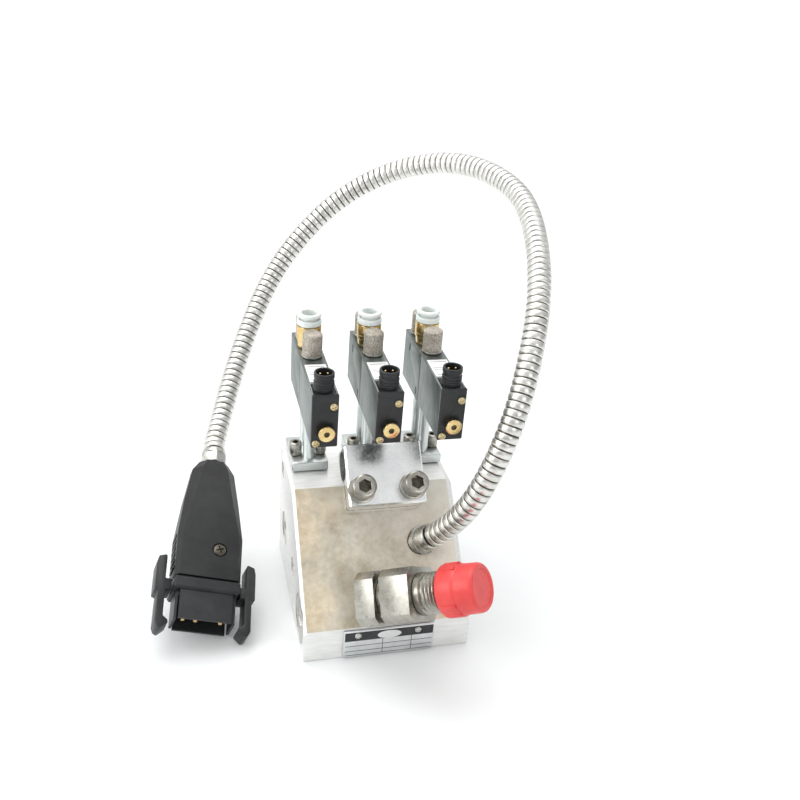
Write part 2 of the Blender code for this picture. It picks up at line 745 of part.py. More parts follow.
head = [
    (0, -8.5 * MM),
    (1.5 * MM, -8.5 * MM),
    (1.5 * MM, -1.3 * MM),
    (HOOD_SCREW_R, -1.3 * MM),
    (HOOD_SCREW_R, -0.3 * MM),
    (HOOD_SCREW_R - 0.7 * MM, 0.3 * MM),
    (0, 0.45 * MM),
]
link("hood_screw", turned(head, 20), STEEL, screw_seat, True)

band = link(
    "plug_insert",
    bevelled_box(
        (-BAND_W / 2, SHROUD_L, -BAND_T / 2),
        (BAND_W / 2, hood_start, BAND_T / 2),
        0.8 * MM,
    ),
    BLACK,
    plug,
)
shroud = box((-SHROUD_W / 2, 0, -SHROUD_T / 2), (SHROUD_W / 2, SHROUD_L + 2 * MM, SHROUD_T / 2))
long_edges = [e for e in shroud.edges if abs((e.verts[0].co - e.verts[1].co).normalized().y) > 0.9]
bmesh.ops.bevel(shroud, geom=long_edges, offset=1.6 * MM, segments=2, affect="EDGES")
join(band, shroud, plug)
socket_low = (SHROUD_WALL - SHROUD_W / 2, -2 * MM, SHROUD_WALL - SHROUD_T / 2)
socket_high = (SHROUD_W / 2 - SHROUD_WALL, SHROUD_L - 2 * MM, SHROUD_T / 2 - SHROUD_WALL)
cut(band, box(socket_low, socket_high), plug)
for x in PIN_X:
    pin = plug_back @ Matrix.Translation((x, -2.6 * MM, 0))
    join(band, rod(PIN_R, 1.4 * MM, SHROUD_L, 12), pin)

# Side latches: levers on pins through the band's ends, hooked at the mouth
# Each outline is (outward from the pivot, back from the pivot).
for side, name in ((-1, "left"), (1, "right")):
    lever = [
        (-1.4, -2.4),
        (0.9, -2.4),
        (0.9, -14.0),
        (-1.2, -15.6),
        (-1.4, -16.8),
        (1.6, -19.4),
        (3.0, -18.6),
        (3.8, -16.6),
        (3.8, -3.2),
        (5.2, -2.6),
        (5.2, 9.6),
        (4.6, 12.6),
        (1.6, 13.6),
        (1.2, 12.8),
        (1.2, 2.6),
        (-1.4, 2.6),
    ]
    shape = [(side * x * MM, y * MM) for x, y in lever]
    hinge = plug @ Matrix.Translation((side * PIVOT_X, PIVOT_Y, 0))
    link("latch_" + name, prism(shape, -4.2 * MM, 4.2 * MM), BLACK, hinge)
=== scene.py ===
# Three-valve pneumatic manifold with exhaust mufflers, bar clamp, capped hose fitting and armoured cord.
# The loaded model is the fixed frame; this script gives each piece its finished surface around it.

import json
import math

import bmesh
import bpy
from mathutils import Matrix, Vector

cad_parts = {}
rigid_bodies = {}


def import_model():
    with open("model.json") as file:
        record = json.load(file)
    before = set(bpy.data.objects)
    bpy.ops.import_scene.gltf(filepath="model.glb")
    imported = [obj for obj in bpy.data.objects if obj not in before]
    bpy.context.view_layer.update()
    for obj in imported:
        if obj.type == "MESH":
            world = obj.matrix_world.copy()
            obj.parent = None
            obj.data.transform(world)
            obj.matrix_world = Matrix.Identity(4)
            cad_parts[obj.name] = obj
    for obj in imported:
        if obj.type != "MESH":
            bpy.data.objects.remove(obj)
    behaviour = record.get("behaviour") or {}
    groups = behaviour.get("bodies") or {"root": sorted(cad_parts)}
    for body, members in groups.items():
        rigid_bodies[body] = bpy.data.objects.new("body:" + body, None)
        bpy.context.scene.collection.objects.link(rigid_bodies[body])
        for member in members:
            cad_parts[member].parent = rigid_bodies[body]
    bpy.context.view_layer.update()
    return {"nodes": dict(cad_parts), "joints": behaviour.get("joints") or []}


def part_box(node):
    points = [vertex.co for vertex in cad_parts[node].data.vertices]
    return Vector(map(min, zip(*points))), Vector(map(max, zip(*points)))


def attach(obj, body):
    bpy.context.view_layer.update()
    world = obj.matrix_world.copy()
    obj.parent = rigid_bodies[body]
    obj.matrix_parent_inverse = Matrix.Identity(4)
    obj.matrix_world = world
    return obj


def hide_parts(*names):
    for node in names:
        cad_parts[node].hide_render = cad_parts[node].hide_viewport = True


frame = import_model()
nodes = frame["nodes"]
MM = 0.001


# ---------------------------------------------------------------- camera and studio
# A plain pale floor under a white tent of light: a broad soft panel overhead and behind, a side panel
# at the left, and a weak front panel.  The tent is darker in front, which metal needs to reflect.
lens = bpy.data.cameras.new("camera")
lens.lens = 41.4
lens.sensor_width = 36.0
lens.clip_end = 200.0
camera = bpy.data.objects.new("camera", lens)
camera.location = (-0.0812, -0.3175, 0.2734)
camera.rotation_euler = [math.radians(a) for a in (61.85, -4.14, -13.50)]
bpy.context.scene.collection.objects.link(camera)
bpy.context.scene.camera = camera
bpy.context.scene.view_settings.view_transform = "Standard"

world = bpy.data.worlds.new("tent")
bpy.context.scene.world = world
world.use_nodes = True
tree = world.node_tree
seen = tree.nodes.new("ShaderNodeBackground")
seen.inputs["Color"].default_value = (0.97, 0.99, 1.0, 1.0)
lit = tree.nodes["Background"]
lit.inputs["Strength"].default_value = 1.0
coords = tree.nodes.new("ShaderNodeTexCoord")
towards = tree.nodes.new("ShaderNodeVectorMath")
towards.operation = "DOT_PRODUCT"
towards.inputs[1].default_value = (-0.25, 0.45, 0.86)
tree.links.new(coords.outputs["Generated"], towards.inputs[0])
shades = tree.nodes.new("ShaderNodeValToRGB")
shades.color_ramp.elements[0].position = 0.0
shades.color_ramp.elements[0].color = (0.42, 0.43, 0.43, 1)
shades.color_ramp.elements[1].position = 0.75
shades.color_ramp.elements[1].color = (1.0, 1.0, 1.0, 1)
middle = shades.color_ramp.elements.new(0.35)
middle.color = (0.74, 0.75, 0.76, 1)
tree.links.new(towards.outputs["Value"], shades.inputs["Fac"])
tree.links.new(shades.outputs["Color"], lit.inputs["Color"])
path_kind = tree.nodes.new("ShaderNodeLightPath")
either = tree.nodes.new("ShaderNodeMixShader")
tree.links.new(path_kind.outputs["Is Camera Ray"], either.inputs["Fac"])
tree.links.new(lit.outputs["Background"], either.inputs[1])
tree.links.new(seen.outputs["Background"], either.inputs[2])
tree.links.new(either.outputs["Shader"], tree.nodes["World Output"].inputs["Surface"])


def panel(name, place, target, size, power):
    """A square soft light that faces the target."""
    light = bpy.data.lights.new(name, "AREA")
    light.size = size
    light.energy = power
    made = bpy.data.objects.new(name, light)
    made.location = place
    facing = (Vector(target) - Vector(place)).to_track_quat("-Z", "Y")
    made.rotation_euler = facing.to_euler()
    bpy.context.scene.collection.objects.link(made)


panel("overhead_panel", (-0.10, 0.35, 1.00), (0.0, 0.0, 0.05), 0.9, 5.5)
panel("left_panel", (-0.95, -0.15, 0.55), (0.0, 0.0, 0.06), 0.6, 4.2)
panel("front_panel", (0.35, -0.95, 0.60), (0.0, 0.0, 0.05), 0.5, 1.6)

bpy.ops.object.select_all(action="DESELECT")
bpy.ops.mesh.primitive_plane_add(size=90.0, location=(0, 0, -0.0002))
floor = bpy.context.object
floor.name = "floor"
paper = bpy.data.materials.new("white_paper")
paper.use_nodes = True
paper.node_tree.nodes["Principled BSDF"].inputs["Base Color"].default_value = (0.88, 0.90, 0.90, 1)
paper.node_tree.nodes["Principled BSDF"].inputs["Roughness"].default_value = 0.6
# Far from the part the paper runs up into the light, so it grows whiter with distance.
tree = paper.node_tree
spot = tree.nodes.new("ShaderNodeTexCoord")
away = tree.nodes.new("ShaderNodeVectorMath")
away.operation = "LENGTH"
tree.links.new(spot.outputs["Object"], away.inputs[0])
rise = tree.nodes.new("ShaderNodeMapRange")
rise.inputs["From Min"].default_value = 0.35
rise.inputs["From Max"].default_value = 1.6
rise.inputs["To Min"].default_value = 0.0
rise.inputs["To Max"].default_value = 0.35
tree.links.new(away.outputs["Value"], rise.inputs["Value"])
shader = tree.nodes["Principled BSDF"]
shader.inputs["Emission Color"].default_value = (1.0, 1.0, 1.0, 1)
tree.links.new(rise.outputs["Result"], shader.inputs["Emission Strength"])
floor.data.materials.append(paper)


# ---------------------------------------------------------------- manifold block
# The heated aluminium block that everything bolts to: sawn from bar, milled on every face.  Its sloped
# face has gone tan and brown with heat and spilled adhesive; the front strip and top stay pale.
def nothing_selected():
    if bpy.context.mode != "OBJECT":
        bpy.ops.object.mode_set(mode="OBJECT")
    bpy.ops.object.select_all(action="DESELECT")


def active(piece):
    nothing_selected()
    piece.select_set(True)
    bpy.context.view_layer.objects.active = piece


def apply_modifier(piece, modifier):
    active(piece)
    bpy.ops.object.modifier_apply(modifier=modifier.name)


def eased(piece, width, segments=2, angle=32.0):
    """Rounds the piece's sharp edges."""
    step = piece.modifiers.new("eased", "BEVEL")
    step.width = width
    step.segments = segments
    step.limit_method = "ANGLE"
    step.angle_limit = math.radians(angle)
    step.use_clamp_overlap = True
    step.harden_normals = False
    apply_modifier(piece, step)
    return piece


def cut_away(piece, cutter):
    """Takes the cutter's shape out of the piece and throws the cutter away."""
    step = piece.modifiers.new("cut", "BOOLEAN")
    step.operation = "DIFFERENCE"
    step.solver = "EXACT"
    step.object = cutter
    apply_modifier(piece, step)
    bpy.data.objects.remove(cutter, do_unlink=True)
    return piece


def copy_of(node, name):
    """A loose copy of a fixed node, its triangles merged back into whole faces."""
    piece = bpy.data.objects.new(name, nodes[node].data.copy())
    bpy.context.scene.collection.objects.link(piece)
    piece.data.materials.clear()
    active(piece)
    bpy.ops.object.mode_set(mode="EDIT")
    bpy.ops.mesh.select_all(action="SELECT")
    bpy.ops.mesh.remove_doubles(threshold=0.000005)
    bpy.ops.mesh.dissolve_limited(angle_limit=math.radians(0.8))
    bpy.ops.object.mode_set(mode="OBJECT")
    return piece


def level_shading(piece):
    """Keeps broad flat faces flat in shading, so only the eased edges turn."""
    step = piece.modifiers.new("level", "WEIGHTED_NORMAL")
    step.keep_sharp = True
    apply_modifier(piece, step)


def finish_piece(piece, material, body, slot, *replaced, smooth=35.0):
    """Shades the piece, gives it its material and fixes it to its body."""
    piece.data.materials.clear()
    piece.data.materials.append(material)
    active(piece)
    bpy.ops.object.shade_smooth_by_angle(angle=math.radians(smooth))
    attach(piece, body)
    if replaced:
        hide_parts(*replaced)
    return piece


def field(tree, scale, stretch=(1, 1, 1), detail=5.0, rough=0.6):
    """A noise pattern laid in the object's own space."""
    coords = tree.nodes.new("ShaderNodeTexCoord")
    mapping = tree.nodes.new("ShaderNodeMapping")
    mapping.inputs["Scale"].default_value = stretch
    pattern = tree.nodes.new("ShaderNodeTexNoise")
    pattern.inputs["Scale"].default_value = scale
    pattern.inputs["Detail"].default_value = detail
    pattern.inputs["Roughness"].default_value = rough
    tree.links.new(coords.outputs["Object"], mapping.inputs["Vector"])
    tree.links.new(mapping.outputs["Vector"], pattern.inputs["Vector"])
    return pattern.outputs["Fac"]


def shaded(tree, source, *stops):
    """Colours spread along a pattern: (position, (r, g, b)) stops."""
    ramp = tree.nodes.new("ShaderNodeValToRGB")
    elements = ramp.color_ramp.elements
    for element, (place, colour) in zip((elements[0], elements[1]), (stops[0], stops[-1])):
        element.position = place
        element.color = (*colour, 1)
    for place, colour in stops[1:-1]:
        elements.new(place).color = (*colour, 1)
    tree.links.new(source, ramp.inputs["Fac"])
    return ramp.outputs["Color"]


def ranged(tree, source, low, high, start=0.3, end=0.7):
    """A pattern's spread mapped to the range low to high."""
    step = tree.nodes.new("ShaderNodeMapRange")
    step.inputs["From Min"].default_value = start
    step.inputs["From Max"].default_value = end
    step.inputs["To Min"].default_value = low
    step.inputs["To Max"].default_value = high
    tree.links.new(source, step.inputs["Value"])
    return step.outputs["Result"]


def mixed(tree, share, first, second, blend="MIX"):
    step = tree.nodes.new("ShaderNodeMix")
    step.data_type = "RGBA"
    step.blend_type = blend
    if isinstance(share, float):
        step.inputs["Factor"].default_value = share
    else:
        tree.links.new(share, step.inputs["Factor"])
    tree.links.new(first, step.inputs["A"])
    tree.links.new(second, step.inputs["B"])
    return step.outputs["Result"]


def raised(tree, shader, source, depth, strength=0.6):
    """Bump of the given depth in metres, added over any that the shader has."""
    step = tree.nodes.new("ShaderNodeBump")
    step.inputs["Distance"].default_value = depth
    step.inputs["Strength"].default_value = strength
    tree.links.new(source, step.inputs["Height"])
    if shader.inputs["Normal"].is_linked:
        tree.links.new(shader.inputs["Normal"].links[0].from_socket, step.inputs["Normal"])
    tree.links.new(step.outputs["Normal"], shader.inputs["Normal"])


def finish(name, dark, light, rough, metallic, patch=60.0, grain=900.0, stretch=(1, 1, 1), depth=0.02):
    """A surface whose colour drifts in patches and whose gloss and relief vary in a finer grain."""
    made = bpy.data.materials.new(name)
    made.use_nodes = True
    tree = made.node_tree
    shader = tree.nodes["Principled BSDF"]
    shader.inputs["Metallic"].default_value = metallic
    patches = field(tree, patch, detail=6.0, rough=0.65)
    fine = field(tree, grain, stretch, detail=4.0)
    tree.links.new(shaded(tree, patches, (0.30, dark), (0.72, light)), shader.inputs["Base Color"])
    tree.links.new(ranged(tree, fine, rough[0], rough[1]), shader.inputs["Roughness"])
    raised(tree, shader, fine, depth * MM)
    return made


heated = bpy.data.materials.new("heat_stained_aluminium")
heated.use_nodes = True
tree = heated.node_tree
shader = tree.nodes["Principled BSDF"]
shader.inputs["Metallic"].default_value = 0.85
stain = shaded(
    tree,
    field(tree, 60.0, (1.0, 0.8, 0.8), 9.0, 0.66),
    (0.30, (0.43, 0.36, 0.26)),
    (0.45, (0.60, 0.54, 0.43)),
    (0.60, (0.72, 0.68, 0.59)),
    (0.78, (0.84, 0.82, 0.77)),
)
specks = field(tree, 420.0, detail=6.0, rough=0.7)
speckle = shaded(tree, specks, (0.35, (0.74, 0.70, 0.63)), (0.6, (1, 1, 1)))
stain = mixed(tree, 0.6, stain, speckle, "MULTIPLY")
# Broad golden patches lie over the grey where the metal ran hottest.
mottle = field(tree, 200.0, detail=7.0, rough=0.7)
golden = shaded(tree, mottle, (0.35, (0.62, 0.50, 0.33)), (0.65, (0.86, 0.76, 0.60)))
stain = mixed(tree, ranged(tree, field(tree, 26.0, detail=4.0), 0.0, 0.90, 0.44, 0.60), stain, golden)
# The colour turns paler towards the upper right corner.
corner = tree.nodes.new("ShaderNodeTexCoord")
climb = tree.nodes.new("ShaderNodeVectorMath")
climb.operation = "DOT_PRODUCT"
climb.inputs[1].default_value = (12.0, 0.0, 12.0)
tree.links.new(corner.outputs["Object"], climb.inputs[0])
pale = shaded(tree, field(tree, 150.0), (0.3, (0.80, 0.79, 0.75)), (0.7, (0.88, 0.87, 0.84)))
stain = mixed(tree, ranged(tree, climb.outputs["Value"], 0.0, 0.62, 0.30, 1.0), stain, pale)
clean = shaded(tree, field(tree, 120.0, (1, 6, 6)), (0.3, (0.80, 0.79, 0.77)), (0.7, (0.92, 0.92, 0.91)))
# Only the sloped face is stained: it is the one whose normal leans half forwards and half up.
facing = tree.nodes.new("ShaderNodeNewGeometry")
lean = tree.nodes.new("ShaderNodeVectorMath")
lean.operation = "DOT_PRODUCT"
lean.inputs[1].default_value = (0.0, -math.sqrt(0.5), math.sqrt(0.5))
tree.links.new(facing.outputs["True Normal"], lean.inputs[0])
sloped = ranged(tree, lean.outputs["Value"], 0.0, 1.0, 0.90, 0.97)
tree.links.new(mixed(tree, sloped, clean, stain), shader.inputs["Base Color"])
milling = field(tree, 1500.0, (1.0, 0.03, 0.03), 3.0)
tree.links.new(ranged(tree, field(tree, 80.0, detail=7.0), 0.44, 0.62), shader.inputs["Roughness"])
raised(tree, shader, milling, 0.02 * MM, 0.5)
raised(tree, shader, field(tree, 260.0, detail=6.0), 0.06 * MM, 0.5)

block = eased(copy_of("manifold_block", "block"), 0.35 * MM)
finish_piece(block, heated, "manifold", "machined_aluminium", "manifold_block")
level_shading(block)


# ---------------------------------------------------------------- side plugs
# Steel hexagon-socket plugs screwed into the block's left end: one large over the filter, three
# smaller over drilled passages.
bright_steel = finish(
    "bright_steel", (0.42, 0.41, 0.38), (0.66, 0.65, 0.62), (0.22, 0.38), 1.0, 150.0, 1200.0, depth=0.01
)
# Dark steel for the hood screw and override plungers, also used as painted shade in screw sockets and conduit
# grooves.
dark_steel_and_painted_shade = finish(
    "dark_steel_and_painted_shade", (0.06, 0.055, 0.045), (0.15, 0.135, 0.11), (0.34, 0.50), 1.0, 200.0, 900.0, depth=0.01
)
for name in ("filter_plug", "side_plug_rear", "side_plug_middle", "side_plug_upper"):
    plug = eased(copy_of(name, name + "_turned"), 0.3 * MM)
    finish_piece(plug, bright_steel, "manifold", "stainless_steel", name)


# ---------------------------------------------------------------- nameplate
# An etched aluminium plate held by two drive rivets.  It carries a black band with a plain pale oval
# and ruled lines, and no lettering.
plate_metal = finish(
    "etched_plate", (0.62, 0.63, 0.64), (0.80, 0.81, 0.81), (0.28, 0.42), 0.9, 90.0, 900.0, (1, 8, 8), 0.01
)
ink = finish("black_ink", (0.018, 0.018, 0.02), (0.035, 0.035, 0.038), (0.35, 0.5), 0.0, 200.0, depth=0.004)
pale_ink = finish("pale_ink", (0.72, 0.73, 0.73), (0.84, 0.85, 0.85), (0.35, 0.5), 0.2, 200.0, depth=0.004)
plate_low, plate_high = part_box("nameplate")
plate = eased(copy_of("nameplate", "nameplate_etched"), 0.15 * MM)
finish_piece(plate, plate_metal, "manifold", "printed_plate", "nameplate")


def slab(name, low, high, ease=0.0):
    """A rectangular piece between two corners, its edges eased."""
    nothing_selected()
    low = Vector(low)
    high = Vector(high)
    bpy.ops.mesh.primitive_cube_add(size=1.0, location=(low + high) / 2)
    piece = bpy.context.object
    piece.name = name
    piece.scale = high - low
    bpy.ops.object.transform_apply(location=True, rotation=True, scale=True)
    return eased(piece, ease) if ease else piece


BAND_BOTTOM = plate_high.z - 5.0 * MM
OVAL_X = 0.3 * MM
OVAL_DROP = 3.0 * MM
OVAL_HALF_WIDTH = 5.0 * MM
OVAL_HALF_HEIGHT = 2.0 * MM
INK = 0.05 * MM
front = plate_low.y
margin = 0.5 * MM
band = slab(
    "nameplate_band",
    (plate_low.x + margin, front - INK, BAND_BOTTOM),
    (plate_high.x - margin, front + INK, plate_high.z - margin),
)
finish_piece(band, ink, "manifold", "printed_plate")
nothing_selected()
bpy.ops.mesh.primitive_cylinder_add(
    vertices=48,
    radius=1.0,
    depth=1.0,
    location=(OVAL_X, front - INK, plate_high.z - OVAL_DROP),
    rotation=(math.radians(90), 0, 0),
    scale=(OVAL_HALF_WIDTH, OVAL_HALF_HEIGHT, 3 * INK),
)
oval = bpy.context.object
oval.name = "nameplate_oval"
bpy.ops.object.transform_apply(location=True, rotation=True, scale=True)
finish_piece(eased(oval, 0.03 * MM), pale_ink, "manifold", "printed_plate")
# Ruled lines below the band, in millimetres: three across and two down
RULE_HEIGHTS = (6.3, 3.6, 1.5)
RULE_LEFT = -18.0
RULE_RIGHT = 18.6
DIVIDERS_X = (-2.4, 9.8)
RULE_HALF = 0.12
for number, height in enumerate(RULE_HEIGHTS, start=1):
    rule = slab(
        "nameplate_rule_%d" % number,
        (RULE_LEFT * MM, front - 0.6 * INK, (height - RULE_HALF) * MM),
        (RULE_RIGHT * MM, front + INK, (height + RULE_HALF) * MM),
    )
    finish_piece(rule, ink, "manifold", "printed_plate")
for number, across in enumerate(DIVIDERS_X, start=1):
    upright = slab(
        "nameplate_divider_%d" % number,
        ((across - RULE_HALF) * MM, front - 0.6 * INK, RULE_HEIGHTS[-1] * MM),
        ((across + RULE_HALF) * MM, front + INK, BAND_BOTTOM),
    )
    finish_piece(upright, ink, "manifold", "printed_plate")


def turned(name, profile, place=None, sides=48):
    """A round piece: a circle drawn out along its axis step by step, in (radius, height) pairs of
    millimetres, its ends filled or, where the outline returns to its start, joined into a ring."""
    nothing_selected()
    first, start = profile[0]
    bpy.ops.mesh.primitive_circle_add(vertices=sides, radius=first * MM, location=(0, 0, start * MM))
    piece = bpy.context.object
    piece.name = name
    bpy.ops.object.transform_apply(location=True, rotation=True, scale=True)
    bpy.ops.object.mode_set(mode="EDIT")
    bpy.ops.mesh.select_all(action="SELECT")
    hollow = profile[-1] == profile[0]
    radius, height = first, start
    for wide, high in profile[1:]:
        bpy.ops.mesh.extrude_edges_move(
            TRANSFORM_OT_translate={"value": (0, 0, (high - height) * MM)}
        )
        share = wide / radius
        bpy.ops.transform.resize(value=(share, share, 1), center_override=(0, 0, 0))
        radius, height = wide, high
    if not hollow:
        bpy.ops.mesh.edge_face_add()
        bpy.ops.mesh.select_all(action="DESELECT")
        mesh = bmesh.from_edit_mesh(piece.data)
        for edge in mesh.edges:
            flat = all(abs(v.co.z - start * MM) < 1e-7 for v in edge.verts)
            out = all(abs(v.co.xy.length - first * MM) < 1e-7 for v in edge.verts)
            if flat and out and edge.is_boundary:
                edge.select_set(True)
        bmesh.update_edit_mesh(piece.data)
        bpy.ops.mesh.edge_face_add()
    bpy.ops.mesh.select_all(action="SELECT")
    bpy.ops.mesh.remove_doubles(threshold=0.000002)
    bpy.ops.mesh.normals_make_consistent(inside=False)
    bpy.ops.object.mode_set(mode="OBJECT")
    if place is not None:
        piece.data.transform(place)
    return piece


def facing_place(origin, z_axis, x_axis=(1, 0, 0)):
    """The matrix whose +Z lies along z_axis and whose +X lies near x_axis."""
    z = Vector(z_axis).normalized()
    x = Vector(x_axis)
    x = (x - z * x.dot(z)).normalized()
    place = Matrix((x, z.cross(x), z)).transposed().to_4x4()
    place.translation = Vector(origin)
    return place


RIVET = [(1.45, -0.2), (1.45, 0.1), (1.3, 0.35), (0.9, 0.6), (0.4, 0.72), (0.1, 0.74)]
RIVETS_X = (-12.8, 12.4)
RIVETS_UP = 2.6 * MM
for number, across in enumerate(RIVETS_X, start=1):
    place = facing_place((across * MM, front, BAND_BOTTOM + RIVETS_UP), (0, -1, 0))
    rivet = turned("nameplate_rivet_%d" % number, RIVET, place, 24)
    finish_piece(rivet, bright_steel, "manifold", "printed_plate")


# ---------------------------------------------------------------- bar clamp
# A zinc-plated split clamp bolted to the sloped face by two M6 socket screws over lock washers; the
# cross bore takes a half inch bar.
zinc = finish(
    "zinc_plate", (0.80, 0.81, 0.81), (0.96, 0.96, 0.95), (0.17, 0.30), 1.0, 110.0, 500.0, depth=0.03
)
clamp = eased(copy_of("clamp_block", "clamp_block_plated"), 0.3 * MM)
finish_piece(clamp, zinc, "manifold", "zinc_plate", "clamp_block")
level_shading(clamp)

SLOPE_OUT = Vector((0, -1, 1)).normalized()
SLOPE_UP = Vector((0, 1, 1)).normalized()
STRIP_TOP = 15 * MM
SLOPE_FOOT = Vector((0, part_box("manifold_block")[0].y, STRIP_TOP))
SEAT_GAP = 0.3  # what is left between bolted pieces, in millimetres
CLAMP_T = 16.0
WASHER_BASE = CLAMP_T + SEAT_GAP
HEAD_BASE = WASHER_BASE + 2.7
M6_HEAD_R = 4.95
M6_KEY = 5.0
M6_SOCKET_FLOOR = HEAD_BASE + 2.8
WASHER = [(3.3, 0), (5.6, 0), (5.6, 1.1), (5.45, 1.2), (3.3, 1.2), (3.3, 0)]
LOCK = [(3.3, 1.2), (4.8, 1.2), (4.8, 2.3), (4.7, 2.4), (3.3, 2.4), (3.3, 1.2)]
M6_SCREW = [
    (3.0, -9.0),
    (3.0, HEAD_BASE),
    (4.7, HEAD_BASE),
    (M6_HEAD_R, HEAD_BASE + 0.2),
    (M6_HEAD_R, HEAD_BASE + 5.2),
    (4.75, HEAD_BASE + 5.6),
    (4.3, HEAD_BASE + 5.95),
    (3.6, HEAD_BASE + 6.0),
]


def round_hole(piece, place, radius, low, high, sides=32):
    """Cuts a hole along the place's Z between two heights, in millimetres."""
    nothing_selected()
    bpy.ops.mesh.primitive_cylinder_add(
        vertices=sides, radius=radius * MM, depth=(high - low) * MM, location=(0, 0, (low + high) / 2 * MM)
    )
    cutter = bpy.context.object
    bpy.ops.object.transform_apply(location=True, rotation=True, scale=True)
    cutter.data.transform(place)
    return cut_away(piece, cutter)


def socket_cut(piece, place, across, low, high):
    """A hexagon driving socket, given by its width across flats."""
    return round_hole(piece, place, across / 2 / math.cos(math.pi / 6), low, high, 6)


KNURL_SIDES = 96


def knurled(piece, radius, low, high, depth, place):
    """Presses fine straight flutes into a screw head between two heights, in millimetres."""
    back = place.inverted()
    for vert in piece.data.vertices:
        local = back @ vert.co
        if low * MM < local.z < high * MM and local.xy.length > (radius - 0.2) * MM:
            turn = math.atan2(local.y, local.x) / (2 * math.pi) * KNURL_SIDES
            if round(turn) % 2:
                local.xy *= 1 - depth / radius
                vert.co = place @ local


nickel = finish(
    "satin_nickel", (0.28, 0.265, 0.225), (0.52, 0.505, 0.46), (0.24, 0.38), 1.0, 240.0, 1200.0, depth=0.01
)
for side, name in ((-1, "left"), (1, "right")):
    low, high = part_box("clamp_washer_" + name)
    centre = (low + high) / 2
    # The washer's box centre lies on the screw's axis; its foot is where that axis meets the slope.
    foot = centre - SLOPE_OUT * (centre - SLOPE_FOOT).dot(SLOPE_OUT)
    seat = facing_place(foot, SLOPE_OUT)
    lifted = seat @ Matrix.Translation((0, 0, WASHER_BASE * MM))
    washer = turned("clamp_washer_flat_" + name, WASHER, lifted)
    finish_piece(washer, nickel, "manifold", "stainless_steel", "clamp_washer_" + name)
    lock = turned("clamp_washer_lock_" + name, LOCK, lifted)
    finish_piece(lock, nickel, "manifold", "stainless_steel")
    screw = turned("clamp_screw_head_" + name, M6_SCREW, seat, KNURL_SIDES)
    knurled(screw, M6_HEAD_R, HEAD_BASE + 0.1, HEAD_BASE + 5.3, 0.14, seat)
    socket_cut(screw, seat, M6_KEY, HEAD_BASE + 2.9, HEAD_BASE + 7.0)
    eased(screw, 0.08 * MM, 1, 50.0)
    finish_piece(screw, nickel, "manifold", "stainless_steel", "clamp_screw_" + name)
    # A dark disc at the bottom of each hexagon socket is painted shade, darkening the recess where shade
    # falls.
    pit = [(2.45, M6_SOCKET_FLOOR), (2.45, M6_SOCKET_FLOOR + 0.15), (0.5, M6_SOCKET_FLOOR + 0.2)]
    socket_shade = turned("clamp_socket_floor_" + name, pit, seat, 24)
    finish_piece(socket_shade, dark_steel_and_painted_shade, "manifold", "stainless_steel")


# ---------------------------------------------------------------- hose fitting
# A forged swivel elbow in plated steel: a square body on the port, a square nut beyond it, and a
# threaded nipple under a red moulded dust cap that pulls off along the thread's axis.
forged = finish(
    "plated_forging", (0.27, 0.255, 0.215), (0.47, 0.46, 0.42), (0.22, 0.38), 1.0, 100.0, 420.0, depth=0.02
)
for name in ("hose_elbow", "hose_nut"):
    body = eased(copy_of(name, name + "_forged"), 0.8 * MM, 3, 20.0)
    finish_piece(body, forged, "manifold", "stainless_steel", name)

cap_joint = [j for j in frame["joints"] if j["name"] == "hose_cap_pull"][0]
HOSE_AXIS = Vector(cap_joint["axis"]).normalized()
KNEE_OUT = 12.0 * MM
HOSE_X = -4.8 * MM
HOSE_UP = 9.9 * MM
knee = SLOPE_FOOT + Vector((HOSE_X, 0, 0)) + SLOPE_UP * HOSE_UP + SLOPE_OUT * KNEE_OUT
outlet = facing_place(knee, HOSE_AXIS, (0, 1, 1))
THREAD_PITCH = 1.6
THREAD_R = 8.1
THREAD_DEPTH = 0.75
THREAD_START = 23.0
THREAD_END = 35.2
nipple_line = [(4.0, 39.5), (4.0, 4.3), (5.0, 4.3), (5.0, 19.8), (8.3, 19.8), (8.3, 22.3), (7.4, 22.8)]
height = THREAD_START
while height < THREAD_END:
    nipple_line += [(THREAD_R - THREAD_DEPTH, height), (THREAD_R, height + 0.6), (THREAD_R, height + 0.9)]
    height += THREAD_PITCH
nipple_line += [(7.2, 36.0), (5.2, 39.5), (4.0, 39.5)]
nipple = turned("hose_nipple_threaded", nipple_line, outlet, 64)
finish_piece(nipple, forged, "manifold", "stainless_steel", "hose_nipple")

red = finish(
    "red_cap", (0.62, 0.036, 0.036), (0.80, 0.078, 0.072), (0.32, 0.48), 0.0, 70.0, 700.0, depth=0.015
)
red.node_tree.nodes["Principled BSDF"].inputs["Subsurface Weight"].default_value = 0.08
red.node_tree.nodes["Principled BSDF"].inputs["Subsurface Scale"].default_value = 0.003
CAP_FOOT = 30.4
CAP_TOP = CAP_FOOT + 15.8
SKIRT_R = 10.3
cap_line = [
    (8.4, CAP_TOP - 2.0),
    (8.4, CAP_FOOT),
    (9.8, CAP_FOOT),
    (10.15, CAP_FOOT + 0.4),
    (SKIRT_R, CAP_FOOT + 1.0),
    (10.25, CAP_FOOT + 6.6),
    (10.05, CAP_FOOT + 7.3),
    (9.7, CAP_FOOT + 7.8),
    (9.6, CAP_FOOT + 8.4),
    (9.45, CAP_TOP - 1.6),
    (9.2, CAP_TOP - 0.7),
    (8.6, CAP_TOP - 0.1),
    (7.9, CAP_TOP),
    (7.3, CAP_TOP - 0.15),
    (7.0, CAP_TOP - 0.5),
    (0.4, CAP_TOP - 0.5),
]
cap = turned("hose_cap_moulded", cap_line, outlet, 72)
finish_piece(cap, red, "hose_cap", "red_plastic", "hose_cap")
